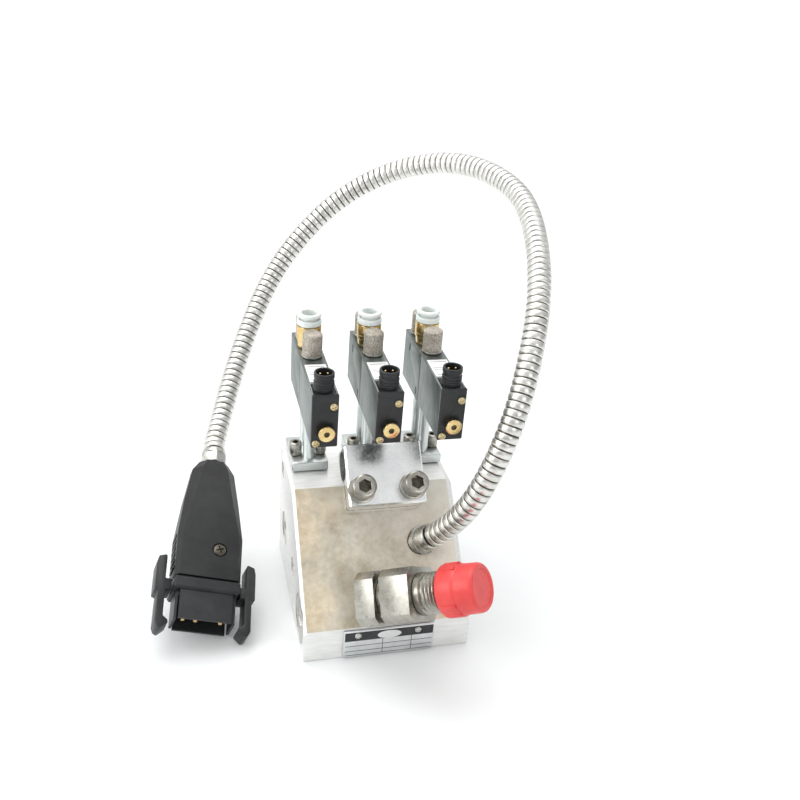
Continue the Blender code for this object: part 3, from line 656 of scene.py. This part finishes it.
# Short moulded grip ribs stand round the skirt in three pairs
CAP_RIB_TURNS = (10, 40, 130, 160, 250, 280)
CAP_RIB_HALF = 0.9
for number, turn in enumerate(CAP_RIB_TURNS, start=1):
    low = ((SKIRT_R - 0.5) * MM, -CAP_RIB_HALF * MM, (CAP_FOOT + 1.2) * MM)
    high = ((SKIRT_R + 0.25) * MM, CAP_RIB_HALF * MM, (CAP_FOOT + 7.6) * MM)
    rib = slab("hose_cap_rib_%d" % number, low, high, 0.22 * MM)
    rib.data.transform(outlet @ Matrix.Rotation(math.radians(turn), 4, "Z"))
    finish_piece(rib, red, "hose_cap", "red_plastic")


# ---------------------------------------------------------------- risers
# Each valve stands on a bolted flange with two air tubes, turned and anodised, held to the block by
# two M3 socket screws.
DRAWN = (1, 1, 0.05)  # the grain's stretch on surfaces drawn along Z
satin = finish(
    "satin_anodised", (0.56, 0.60, 0.59), (0.74, 0.77, 0.76), (0.26, 0.40), 1.0, 70.0, 1400.0, DRAWN, 0.008
)
BLOCK_TOP = 56.5
FLANGE_T = 4.6
M3_KEY = 2.5
M3_HEAD_FOOT = BLOCK_TOP + FLANGE_T + SEAT_GAP
M3_SOCKET_FLOOR = M3_HEAD_FOOT + 3.1
M3_SCREW = [
    (1.5, M3_HEAD_FOOT - 6.0),
    (1.5, M3_HEAD_FOOT),
    (2.6, M3_HEAD_FOOT),
    (2.7, M3_HEAD_FOOT + 0.15),
    (2.7, M3_HEAD_FOOT + 5.0),
    (2.55, M3_HEAD_FOOT + 5.4),
    (2.2, M3_HEAD_FOOT + 5.6),
]
for station in (1, 2, 3):
    riser = eased(copy_of("riser_%d" % station, "riser_%d_flange" % station), 0.15 * MM)
    finish_piece(riser, satin, "manifold", "silver_anodised", "riser_%d" % station)
    for name in ("left", "right"):
        node = "riser_screw_%s_%d" % (name, station)
        low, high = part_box(node)
        seat = Matrix.Translation(((low.x + high.x) / 2, (low.y + high.y) / 2, 0))
        screw = turned(node + "_head", M3_SCREW, seat, 48)
        socket_cut(screw, seat, M3_KEY, M3_HEAD_FOOT + 3.2, M3_HEAD_FOOT + 7.0)
        finish_piece(screw, nickel, "manifold", "stainless_steel", node)
        # A dark disc at the bottom of each hexagon socket is painted shade, darkening the recess where shade
        # falls.
        pit = [(1.2, M3_SOCKET_FLOOR), (1.2, M3_SOCKET_FLOOR + 0.15), (0.3, M3_SOCKET_FLOOR + 0.18)]
        socket_shade = turned(node + "_socket_floor", pit, seat, 18)
        finish_piece(socket_shade, dark_steel_and_painted_shade, "manifold", "stainless_steel")


# ---------------------------------------------------------------- valve bodies
# Slim aluminium valve bodies with screw slots and a cover seam in each side, and a white label with
# plain ruled marks on top, just behind the coil.
valve_grey = finish(
    "valve_grey", (0.14, 0.16, 0.15), (0.27, 0.30, 0.29), (0.34, 0.50), 0.85, 70.0, 1400.0, DRAWN, 0.008
)
SEAM_Y = 15.7 * MM
# Screw slots in each side: the middle of each along Y and Z, in millimetres, and their size
SLOTS = ((34.0, 105.0), (19.7, 91.0))
SLOT_WIDTH = 1.5
SLOT_HEIGHT = 3.4
LABEL_HALF = 4.3 * MM
LABEL_FRONT = -4.6 * MM
LABEL_BACK = 10.5 * MM
# The label's marks: (front, back, left, right) in millimetres
LABEL_MARKS = (
    (-3.2, -2.8, -3.4, 3.4),
    (1.5, 1.9, -3.4, 1.2),
    (3.0, 3.4, -3.4, 3.4),
    (8.3, 8.7, -3.4, 3.4),
)
label_white = finish(
    "label_white", (0.80, 0.81, 0.80), (0.90, 0.91, 0.90), (0.35, 0.5), 0.0, 150.0, depth=0.004
)
grey_print = finish("grey_print", (0.20, 0.20, 0.21), (0.30, 0.30, 0.31), (0.4, 0.5), 0.0, 200.0, depth=0.003)
for station in (1, 2, 3):
    node = "valve_body_%d" % station
    low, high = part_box(node)
    centre = (low.x + high.x) / 2
    body = copy_of(node, node + "_milled")
    for edge in (low.x, high.x):
        for along, middle in SLOTS:
            near = (edge - 0.5 * MM, (along - SLOT_WIDTH / 2) * MM, (middle - SLOT_HEIGHT / 2) * MM)
            far = (edge + 0.5 * MM, (along + SLOT_WIDTH / 2) * MM, (middle + SLOT_HEIGHT / 2) * MM)
            cut_away(body, slab("cutter", near, far))
        cut_away(
            body,
            slab(
                "cutter",
                (edge - 0.2 * MM, SEAM_Y - 0.15 * MM, low.z - MM),
                (edge + 0.2 * MM, SEAM_Y + 0.15 * MM, high.z + MM),
            ),
        )
    finish_piece(eased(body, 0.12 * MM), valve_grey, "manifold", "silver_anodised", node)
    label = slab(
        "valve_label_%d" % station,
        (centre - LABEL_HALF, LABEL_FRONT, high.z - 0.05 * MM),
        (centre + LABEL_HALF, LABEL_BACK, high.z + 0.12 * MM),
        0.04 * MM,
    )
    finish_piece(label, label_white, "manifold", "silver_anodised")
    for number, (start, end, left, right) in enumerate(LABEL_MARKS, start=1):
        mark = slab(
            "valve_label_%d_mark_%d" % (station, number),
            (centre + left * MM, start * MM, high.z + 0.10 * MM),
            (centre + right * MM, end * MM, high.z + 0.15 * MM),
        )
        finish_piece(mark, grey_print, "manifold", "silver_anodised")


# ---------------------------------------------------------------- coil housings
# Black moulded solenoid coils at the front of the valves, each held by two small cross-head screws,
# with a round plug connector on top and a brass manual override in the front plate.
moulded = finish(
    "moulded_black",
    (0.012, 0.013, 0.014),
    (0.030, 0.031, 0.033),
    (0.30, 0.46),
    0.0,
    90.0,
    1300.0,
    depth=0.012,
)
brass = finish(
    "turned_brass", (0.60, 0.42, 0.17), (0.86, 0.68, 0.36), (0.18, 0.34), 1.0, 160.0, 900.0, (1, 1, 8), 0.008
)
yellow_zinc = finish(
    "yellow_zinc", (0.50, 0.41, 0.22), (0.76, 0.66, 0.42), (0.26, 0.42), 1.0, 300.0, 900.0, depth=0.006
)
gold = finish(
    "gold_pins", (0.60, 0.42, 0.16), (0.82, 0.62, 0.30), (0.18, 0.30), 1.0, 200.0, 900.0, depth=0.004
)


def cross_cut(piece, place, reach, width, low, high):
    """The cross recess of a screw head, cut between two heights, in millimetres."""
    for turn in (0, 90):
        near = (-reach * MM, -width / 2 * MM, low * MM)
        far = (reach * MM, width / 2 * MM, high * MM)
        cutter = slab("cutter", near, far)
        cutter.data.transform(place @ Matrix.Rotation(math.radians(turn + 20), 4, "Z"))
        cut_away(piece, cutter)
    return piece


COIL_SCREW = [(1.0, -1.0), (1.6, -1.0), (1.6, 0.0), (1.55, 0.18), (1.35, 0.42), (0.9, 0.58), (0.3, 0.62)]
COIL_SCREWS = ((3.3, 104.8), (-3.3, 89.0))
CONNECTOR = [(3.9, 0.0), (4.0, 0.15)]
for groove in (0.6, 1.6, 2.6):
    CONNECTOR += [(4.0, groove), (3.7, groove + 0.2), (3.7, groove + 0.4), (4.0, groove + 0.6)]
CONNECTOR += [
    (4.0, 3.7),
    (3.85, 3.9),
    (3.55, 4.1),
    (3.55, 4.8),
    (3.85, 5.05),
    (4.0, 5.25),
    (3.97, 7.05),
    (3.85, 7.25),
    (3.3, 7.3),
    (3.1, 7.1),
    (3.1, 2.8),
]
PIN = [(0.45, 2.5), (0.45, 6.1), (0.35, 6.35), (0.15, 6.45)]
PIN_TURNS = (30, 150, 270)
PIN_CIRCLE = 1.7 * MM
PLUNGER = [(1.08, 0.6), (1.08, 1.5), (0.7, 1.3), (0.3, 1.2)]
OVERRIDE = [
    (1.7, -2.9),
    (1.8, -2.7),
    (1.8, 1.3),
    (3.1, 1.3),
    (3.25, 1.45),
    (3.25, 2.3),
    (3.1, 2.52),
    (2.85, 2.6),
    (1.25, 2.6),
    (1.1, 2.45),
    (1.1, 0.5),
]
for station in (1, 2, 3):
    node = "coil_housing_%d" % station
    low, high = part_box(node)
    centre = (low.x + high.x) / 2
    coil = copy_of(node, node + "_moulded")
    for across, height in COIL_SCREWS:
        seat = facing_place((centre + across * MM, low.y, height * MM), (0, -1, 0))
        round_hole(coil, seat, 1.75, -0.9, 1.0)
    finish_piece(eased(coil, 0.18 * MM), moulded, "manifold", "black_plastic", node)
    for number, (across, height) in enumerate(COIL_SCREWS, start=1):
        seat = facing_place((centre + across * MM, low.y, height * MM), (0, -1, 0))
        screw = turned("coil_screw_%d_%d" % (station, number), COIL_SCREW, seat, 28)
        cross_cut(screw, seat, 1.0, 0.36, 0.15, 1.0)
        finish_piece(screw, yellow_zinc, "manifold", "stainless_steel")

    low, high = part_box("connector_%d" % station)
    stand = Matrix.Translation((centre, (low.y + high.y) / 2, low.z))
    shell = turned("connector_%d_shell" % station, CONNECTOR, stand, 48)
    finish_piece(shell, moulded, "manifold", "black_plastic", "connector_%d" % station)
    for number, turn in enumerate(PIN_TURNS, start=1):
        off = Matrix.Rotation(math.radians(turn), 4, "Z") @ Matrix.Translation((PIN_CIRCLE, 0, 0))
        pin = turned("connector_%d_pin_%d" % (station, number), PIN, stand @ off, 16)
        finish_piece(pin, gold, "manifold", "brass")

    low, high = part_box("override_%d" % station)
    push = facing_place(((low.x + high.x) / 2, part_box(node)[0].y, (low.z + high.z) / 2), (0, -1, 0))
    button = turned("override_%d_button" % station, OVERRIDE, push, 48)
    finish_piece(button, brass, "override_%d" % station, "brass", "override_%d" % station)
    plunger = turned("override_%d_bore" % station, PLUNGER, push, 24)
    finish_piece(plunger, dark_steel_and_painted_shade, "override_%d" % station, "brass")


# ---------------------------------------------------------------- exhaust mufflers
# The mufflers: caps of sintered bronze grains pressed on a threaded stud.  The grain is real relief on
# the surface, and the foot ends in a thin bright turned rim.
def sintered_material():
    made = bpy.data.materials.new("sintered_bronze")
    made.use_nodes = True
    tree = made.node_tree
    shader = tree.nodes["Principled BSDF"]
    shader.inputs["Metallic"].default_value = 0.55
    coords = tree.nodes.new("ShaderNodeTexCoord")
    grains = tree.nodes.new("ShaderNodeTexVoronoi")
    grains.inputs["Scale"].default_value = 2600.0
    tree.links.new(coords.outputs["Object"], grains.inputs["Vector"])
    clouds = field(tree, 220.0, detail=5.0)
    body_tone = shaded(tree, clouds, (0.3, (0.48, 0.44, 0.38)), (0.7, (0.76, 0.72, 0.66)))
    # The gaps between grains are darkened in colour: painted shade in the hollows of the relief.
    grain_gap_shade = shaded(tree, grains.outputs["Distance"], (0.25, (1, 1, 1)), (0.75, (0.42, 0.38, 0.33)))
    tree.links.new(mixed(tree, 0.8, body_tone, grain_gap_shade, "MULTIPLY"), shader.inputs["Base Color"])
    tree.links.new(ranged(tree, grains.outputs["Distance"], 0.55, 0.85, 0.1, 0.7), shader.inputs["Roughness"])
    inverse = ranged(tree, grains.outputs["Distance"], 1.0, 0.0, 0.0, 0.8)
    raised(tree, shader, inverse, 0.12 * MM, 0.9)
    return made


sintered = sintered_material()
grit = bpy.data.textures.new("grit", "CLOUDS")
grit.noise_scale = 0.0007
grit.noise_depth = 2
MUFFLER = [(2.2, -3.0), (2.2, 0.35), (3.9, 0.35), (3.95, 0.5), (3.95, 1.0), (4.0, 1.15)]
RIM = [(2.4, 0.3), (4.15, 0.3), (4.25, 0.4), (4.25, 0.95), (4.15, 1.05), (2.4, 1.05), (2.4, 0.3)]
# The grained wall: its radius, foot and top in millimetres, and the rings that carry the relief
WALL_R = 4.04
WALL_FOOT = 1.3
WALL_TOP = 9.55
WALL_RINGS = 26
for ring in range(WALL_RINGS + 1):
    MUFFLER.append((WALL_R, WALL_FOOT + ring * (WALL_TOP - WALL_FOOT) / WALL_RINGS))
MUFFLER += [(3.88, 9.85), (3.62, 10.05), (3.2, 10.15), (2.6, 10.15), (1.9, 10.15), (1.2, 10.15), (0.5, 10.15)]
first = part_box("muffler_front_2")
middle = (first[0] + first[1]) / 2
foot = Matrix.Translation((middle.x, middle.y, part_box("valve_body_2")[1].z))
pattern_muffler = turned("muffler_pattern", MUFFLER, foot, 72)
rough_part = pattern_muffler.vertex_groups.new(name="grains")
rim_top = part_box("valve_body_2")[1].z + 1.25 * MM
rough_part.add([v.index for v in pattern_muffler.data.vertices if v.co.z > rim_top], 1.0, "ADD")
step = pattern_muffler.modifiers.new("grain", "DISPLACE")
step.texture = grit
step.texture_coords = "LOCAL"
step.strength = 0.30 * MM
step.mid_level = 0.5
step.vertex_group = "grains"
apply_modifier(pattern_muffler, step)
for station in (1, 2, 3):
    for name in ("front", "rear"):
        node = "muffler_%s_%d" % (name, station)
        low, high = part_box(node)
        here = ((low.x + high.x) / 2, (low.y + high.y) / 2)
        muffler = bpy.data.objects.new(node + "_sintered", pattern_muffler.data.copy())
        bpy.context.scene.collection.objects.link(muffler)
        shift = Vector((here[0], here[1], 0)) - Vector((foot.translation.x, foot.translation.y, 0))
        muffler.data.transform(Matrix.Translation(shift))
        finish_piece(muffler, sintered, "manifold", "sintered_bronze", node)
        stand = Matrix.Translation((here[0], here[1], foot.translation.z))
        rim = turned(node + "_rim", RIM, stand, 48)
        finish_piece(rim, bright_steel, "manifold", "sintered_bronze")
bpy.data.objects.remove(pattern_muffler, do_unlink=True)


# ---------------------------------------------------------------- tube fittings
# Push-in fittings for 6 mm tube: a turned brass body with a hexagon foot, a fixed white collar, and a
# white release ring that is pressed down to free the tube.
white = finish(
    "white_moulding", (0.70, 0.76, 0.73), (0.84, 0.88, 0.86), (0.22, 0.36), 0.0, 120.0, 900.0, depth=0.006
)
white.node_tree.nodes["Principled BSDF"].inputs["Subsurface Weight"].default_value = 0.15
white.node_tree.nodes["Principled BSDF"].inputs["Subsurface Scale"].default_value = 0.002
FITTING = [
    (2.2, -3.0),
    (2.2, 0.3),
    (4.5, 0.3),
    (4.6, 0.45),
    (4.6, 3.1),
    (4.75, 3.3),
    (5.0, 3.45),
    (5.1, 3.65),
    (5.1, 5.2),
    (4.95, 5.3),
    (4.95, 5.5),
    (5.1, 5.6),
    (5.1, 9.7),
    (5.0, 9.9),
    (4.1, 9.9),
    (4.1, 2.2),
]
COLLAR = [
    (4.1, 10.2),
    (4.9, 10.2),
    (5.1, 10.35),
    (5.1, 12.2),
    (4.95, 12.45),
    (4.75, 12.6),
    (4.1, 12.6),
    (4.1, 10.2),
]
RING = [
    (3.1, 3.6),
    (3.8, 3.6),
    (3.8, 13.8),
    (4.85, 13.8),
    (5.0, 13.95),
    (5.0, 14.8),
    (4.85, 15.1),
    (4.5, 15.3),
    (3.7, 15.3),
    (3.35, 15.2),
    (3.15, 14.9),
    (3.1, 14.5),
    (3.1, 3.6),
]
for station in (1, 2, 3):
    low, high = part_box("fitting_body_%d" % station)
    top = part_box("valve_body_%d" % station)[1].z
    here = Matrix.Translation(((low.x + high.x) / 2, (low.y + high.y) / 2, top))
    body = turned("fitting_%d_brass" % station, FITTING, here, 48)
    finish_piece(body, brass, "manifold", "brass", "fitting_body_%d" % station)
    collar = turned("fitting_%d_collar" % station, COLLAR, here, 48)
    finish_piece(collar, white, "manifold", "white_plastic", "fitting_collar_%d" % station)
    ring = turned("fitting_%d_ring" % station, RING, here, 48)
    finish_piece(ring, white, "release_ring_%d" % station, "white_plastic", "release_ring_%d" % station)


# ---------------------------------------------------------------- armoured cord
# A power lead in interlocked steel conduit: narrow bands of strip wound round and locked into each
# other.  It is stiff and holds its own arch from the collar on the sloped face to the plug's gland.
latches = {j["name"]: j for j in frame["joints"] if j["name"].startswith("latch")}
right_pin = Vector(latches["latch_right_squeeze"]["pos_m"])
left_pin = Vector(latches["latch_left_squeeze"]["pos_m"])
PLUG_OUT = Vector(latches["latch_right_squeeze"]["axis"]).normalized()
PLUG_ACROSS = (right_pin - left_pin).normalized()
PLUG_BACK = PLUG_OUT.cross(PLUG_ACROSS)
PIN_BACK = 15.2 * MM
plug_mouth = (right_pin + left_pin) / 2 - PLUG_BACK * PIN_BACK
# Local X runs across the plug, local Y back from its mouth and local Z out of its top.
plug = facing_place(plug_mouth, PLUG_OUT, PLUG_ACROSS)
SHROUD_LENGTH = 12.7
PLUG_FLANGE = 5.8
HOOD_LENGTH = 61.0
GLAND_LENGTH = 8.0
HOOD_END = SHROUD_LENGTH + PLUG_FLANGE + HOOD_LENGTH
MOUTH_TO_GLAND = (HOOD_END + SEAT_GAP + GLAND_LENGTH) * MM

CORD_RADIUS = 5.0 * MM
GAP = SEAT_GAP * MM
COLLAR_LENGTH = 7.0 * MM
CORD_LEAD = 6.0 * MM
CORD_EXIT = Vector((0.42, -0.55, 0.72)).normalized()
ROOT_X = 18.2
ROOT_UP = 33.0
root_point = SLOPE_FOOT + Vector((ROOT_X * MM, 0, 0)) + SLOPE_UP * ROOT_UP * MM
root_place = facing_place(root_point, CORD_EXIT)
# Stations along the cord between its two straight leads, in metres
ROUTE = (
    (0.0300, -0.0302, 0.0600),
    (0.0365, -0.0325, 0.0755),
    (0.0440, -0.0300, 0.0945),
    (0.0515, -0.0220, 0.1110),
    (0.0615, -0.0030, 0.1330),
    (0.0685, 0.0185, 0.1475),
    (0.0740, 0.0475, 0.1595),
    (0.0730, 0.0725, 0.1660),
    (0.0610, 0.1020, 0.1685),
    (0.0420, 0.1225, 0.1625),
    (0.0210, 0.1335, 0.1515),
    (0.0000, 0.1360, 0.1365),
    (-0.0220, 0.1300, 0.1140),
    (-0.0360, 0.1185, 0.0945),
    (-0.0490, 0.0990, 0.0715),
    (-0.0575, 0.0785, 0.0555),
)
cord_start = root_point + CORD_EXIT * (COLLAR_LENGTH + 2 * GAP)
cord_end = plug_mouth + PLUG_BACK * (MOUTH_TO_GLAND + 2 * GAP)
stations = [cord_start, cord_start + CORD_EXIT * CORD_LEAD]
stations += [Vector(p) for p in ROUTE]
stations += [cord_end + PLUG_BACK * CORD_LEAD, cord_end]


def curved_through(knots, first, last, steps):
    """Cubic segments through the knots, with the end directions given."""
    slopes = [first * (knots[1] - knots[0]).length]
    slopes += [(after - before) / 2 for before, after in zip(knots, knots[2:])]
    slopes.append(last * (knots[-1] - knots[-2]).length)
    points = []
    for i in range(len(knots) - 1):
        for j in range(steps):
            t = j / steps
            points.append(
                knots[i] * (2 * t**3 - 3 * t**2 + 1)
                + slopes[i] * (t**3 - 2 * t**2 + t)
                + knots[i + 1] * (-2 * t**3 + 3 * t**2)
                + slopes[i + 1] * (t**3 - t**2)
            )
    return points + [knots[-1]]


SPAN_STEPS = 8
SMOOTHINGS = 24
HELD_POINTS = 6  # at each end, so that the leads stay straight
line = curved_through(stations, CORD_EXIT, -PLUG_BACK, SPAN_STEPS)
for _ in range(SMOOTHINGS):
    eased_line = [p.copy() for p in line]
    for i in range(HELD_POINTS, len(line) - HELD_POINTS):
        eased_line[i] = (line[i - 1] + line[i] * 2 + line[i + 1]) / 4
    line = eased_line
runs = [0.0]
for a, b in zip(line, line[1:]):
    runs.append(runs[-1] + (b - a).length)
cord_length = runs[-1]


def on_line(distance):
    """The point of the cord's centreline that far from its start, and its direction there."""
    distance = min(max(distance, 0.0), cord_length)
    i = 0
    while i < len(line) - 2 and runs[i + 1] < distance:
        i += 1
    share = (distance - runs[i]) / (runs[i + 1] - runs[i])
    before = line[max(i - 1, 0)]
    after = line[min(i + 2, len(line) - 1)]
    here = (line[i + 1] - line[i]).normalized() * 0.5 + (after - before).normalized() * 0.5
    return line[i].lerp(line[i + 1], share), here.normalized()


STRIP_PITCH = 3.15 * MM
band_count = round(cord_length / STRIP_PITCH)
band_pitch = cord_length / band_count
# One band of strip: its share of the pitch and its radius
BAND = (
    (0.02, 0.86),
    (0.10, 0.90),
    (0.15, 0.97),
    (0.24, 1.0),
    (0.80, 1.0),
    (0.89, 0.98),
    (0.93, 0.92),
    (0.98, 0.86),
)
SIDES = 40
rows = []
for band_number in range(band_count):
    for share, wide in BAND:
        rows.append(((band_number + share) * band_pitch, CORD_RADIUS * wide))


def sleeve_along(name, rows):
    """A closed round skin along the cord, through (distance, radius) rows."""
    mesh = bmesh.new()
    loops = []
    side_way = Vector((1, 0, 0))
    for distance, radius in rows:
        point, ahead = on_line(distance)
        side_way = (side_way - ahead * side_way.dot(ahead)).normalized()
        up_way = ahead.cross(side_way)
        loop = []
        for k in range(SIDES):
            turn = 2 * math.pi * k / SIDES
            spoke = side_way * math.cos(turn) + up_way * math.sin(turn)
            loop.append(mesh.verts.new(point + spoke * radius))
        loops.append(loop)
    for before, after in zip(loops, loops[1:]):
        for k in range(SIDES):
            mesh.faces.new((before[k], before[(k + 1) % SIDES], after[(k + 1) % SIDES], after[k]))
    mesh.faces.new(list(reversed(loops[0])))
    mesh.faces.new(loops[-1])
    bmesh.ops.recalc_face_normals(mesh, faces=mesh.faces)
    shape = bpy.data.meshes.new(name)
    mesh.to_mesh(shape)
    mesh.free()
    piece = bpy.data.objects.new(name, shape)
    bpy.context.scene.collection.objects.link(piece)
    return piece


conduit = sleeve_along("conduit_bands", rows)
strip_steel = finish(
    "strip_steel", (0.62, 0.61, 0.575), (0.86, 0.85, 0.815), (0.26, 0.40), 1.0, 200.0, 1500.0, depth=0.006
)
finish_piece(conduit, strip_steel, "manifold", "conduit_steel", "conduit", smooth=50.0)
# A dark sleeve inside the bands shows at the bottom of every groove as painted shade
GROOVE_SHADE_RADIUS = CORD_RADIUS * 0.91
groove_shade_rows = [(i * band_pitch, GROOVE_SHADE_RADIUS) for i in range(band_count + 1)]
# This sleeve is the painted groove shade.
lock = sleeve_along("conduit_lock", groove_shade_rows)
finish_piece(lock, dark_steel_and_painted_shade, "manifold", "conduit_steel")

COLLAR_LINE = [
    (5.6, -5.0),
    (5.6, 0.2),
    (6.3, 0.25),
    (6.3, 0.9),
    (5.6, 1.0),
    (5.6, 2.6),
    (5.45, 2.8),
    (5.45, 3.1),
    (5.6, 3.3),
    (5.6, 6.2),
    (5.4, 6.6),
    (5.0, 6.95),
]
collar = turned("conduit_collar_turned", COLLAR_LINE, root_place, 48)
finish_piece(collar, bright_steel, "manifold", "stainless_steel", "conduit_collar")


# ---------------------------------------------------------------- plug hood
# A black moulded hood in two halves held by one cross-head screw, with the conduit's gland nut at its
# tail.  Short raised ribs cross its flanks for grip.
hood_plastic = finish(
    "hood_black", (0.010, 0.010, 0.011), (0.026, 0.027, 0.028), (0.34, 0.52), 0.0, 60.0, 1600.0, depth=0.02
)
for plastic in (moulded, hood_plastic):
    plastic.node_tree.nodes["Principled BSDF"].inputs["Specular IOR Level"].default_value = 0.36
hood = eased(copy_of("plug_hood", "plug_hood_moulded"), 0.5 * MM, 2, 14.0)
finish_piece(hood, hood_plastic, "manifold", "black_plastic", "plug_hood")
level_shading(hood)
HOOD_TOP = 7.5
FLANK = 14.0
# The flank ribs, in millimetres: count on each side, first one, spacing, width, half height, half depth
FLANK_RIBS = 6
RIB_START = 23.0
RIB_STEP = 3.0
RIB_WIDTH = 1.5
RIB_HALF = 3.6
RIB_SINK = 0.35
for side in (-1, 1):
    for number in range(FLANK_RIBS):
        start = RIB_START + number * RIB_STEP
        low = ((side * FLANK - RIB_SINK) * MM, start * MM, -RIB_HALF * MM)
        high = ((side * FLANK + RIB_SINK) * MM, (start + RIB_WIDTH) * MM, RIB_HALF * MM)
        name = "plug_hood_rib_%s_%d" % ("left" if side < 0 else "right", number + 1)
        rib = slab(name, low, high, 0.15 * MM)
        rib.data.transform(plug)
        finish_piece(rib, hood_plastic, "manifold", "black_plastic")

HOOD_SCREW = [
    (1.5, -8.0),
    (1.5, -1.3),
    (2.75, -1.3),
    (2.85, -1.1),
    (2.85, -0.3),
    (2.7, 0.0),
    (2.3, 0.28),
    (1.6, 0.42),
    (0.5, 0.46),
]
HOOD_SCREW_X = 4.0
HOOD_SCREW_BACK = 32.3
screw_seat = plug @ Matrix.Translation((HOOD_SCREW_X * MM, HOOD_SCREW_BACK * MM, HOOD_TOP * MM))
screw = turned("hood_screw_head", HOOD_SCREW, screw_seat, 40)
cross_cut(screw, screw_seat, 1.7, 0.6, -0.6, 1.0)
finish_piece(screw, dark_steel_and_painted_shade, "manifold", "stainless_steel", "hood_screw")

plug_back = plug @ Matrix.Rotation(math.radians(-90), 4, "X")
NUT_LINE = [
    (5.0, HOOD_END + 0.3),
    (5.5, HOOD_END + 0.35),
    (5.9, HOOD_END + 0.7),
    (5.9, HOOD_END + 6.2),
    (5.5, HOOD_END + 6.55),
    (5.2, HOOD_END + 6.6),
]
FERRULE_LINE = [(5.0, HOOD_END + 6.0), (5.45, HOOD_END + 6.1), (5.45, HOOD_END + 7.9), (5.2, HOOD_END + 8.3)]
gland = turned("gland_nut_hexagon", NUT_LINE, plug_back, 6)
finish_piece(eased(gland, 0.15 * MM), bright_steel, "manifold", "stainless_steel", "gland_nut", smooth=20.0)
ferrule = turned("gland_nut_ferrule", FERRULE_LINE, plug_back, 48)
finish_piece(ferrule, bright_steel, "manifold", "stainless_steel")


# ---------------------------------------------------------------- plug insert and latches
# The contact insert: a flanged black moulding whose shroud surrounds gold pins, and the two sprung
# side latches that hook on the mating socket.
insert = eased(copy_of("plug_insert", "plug_insert_moulded"), 0.25 * MM, 2, 25.0)
finish_piece(insert, moulded, "manifold", "black_plastic", "plug_insert")
level_shading(insert)
CONTACT = [(0.95, 2.0), (1.0, 1.5), (1.0, 1.1), (0.75, 0.7), (0.3, 0.6)]
CONTACTS_X = (-8.4, -3.2, 7.0)
CONTACTS_OFF = -2.6 * MM
pins = []
for number, across in enumerate(CONTACTS_X, start=1):
    place = plug_back @ Matrix.Translation((across * MM, CONTACTS_OFF, 0))
    sleeve = turned("plug_pin_%d" % number, [(0.95, 10.6)] + CONTACT, place, 24)
    pins.append(finish_piece(sleeve, gold, "manifold", "brass"))
latch_pieces = []
for name in ("left", "right"):
    latch = eased(copy_of("latch_" + name, "latch_%s_moulded" % name), 0.35 * MM, 2, 25.0)
    latch_pieces.append(finish_piece(latch, moulded, "latch_" + name, "black_plastic", "latch_" + name))

on_cord = [gland, ferrule, hood, screw, insert, *pins, *latch_pieces]
on_cord += [o for o in bpy.data.objects if o.name.startswith("plug_hood_rib")]
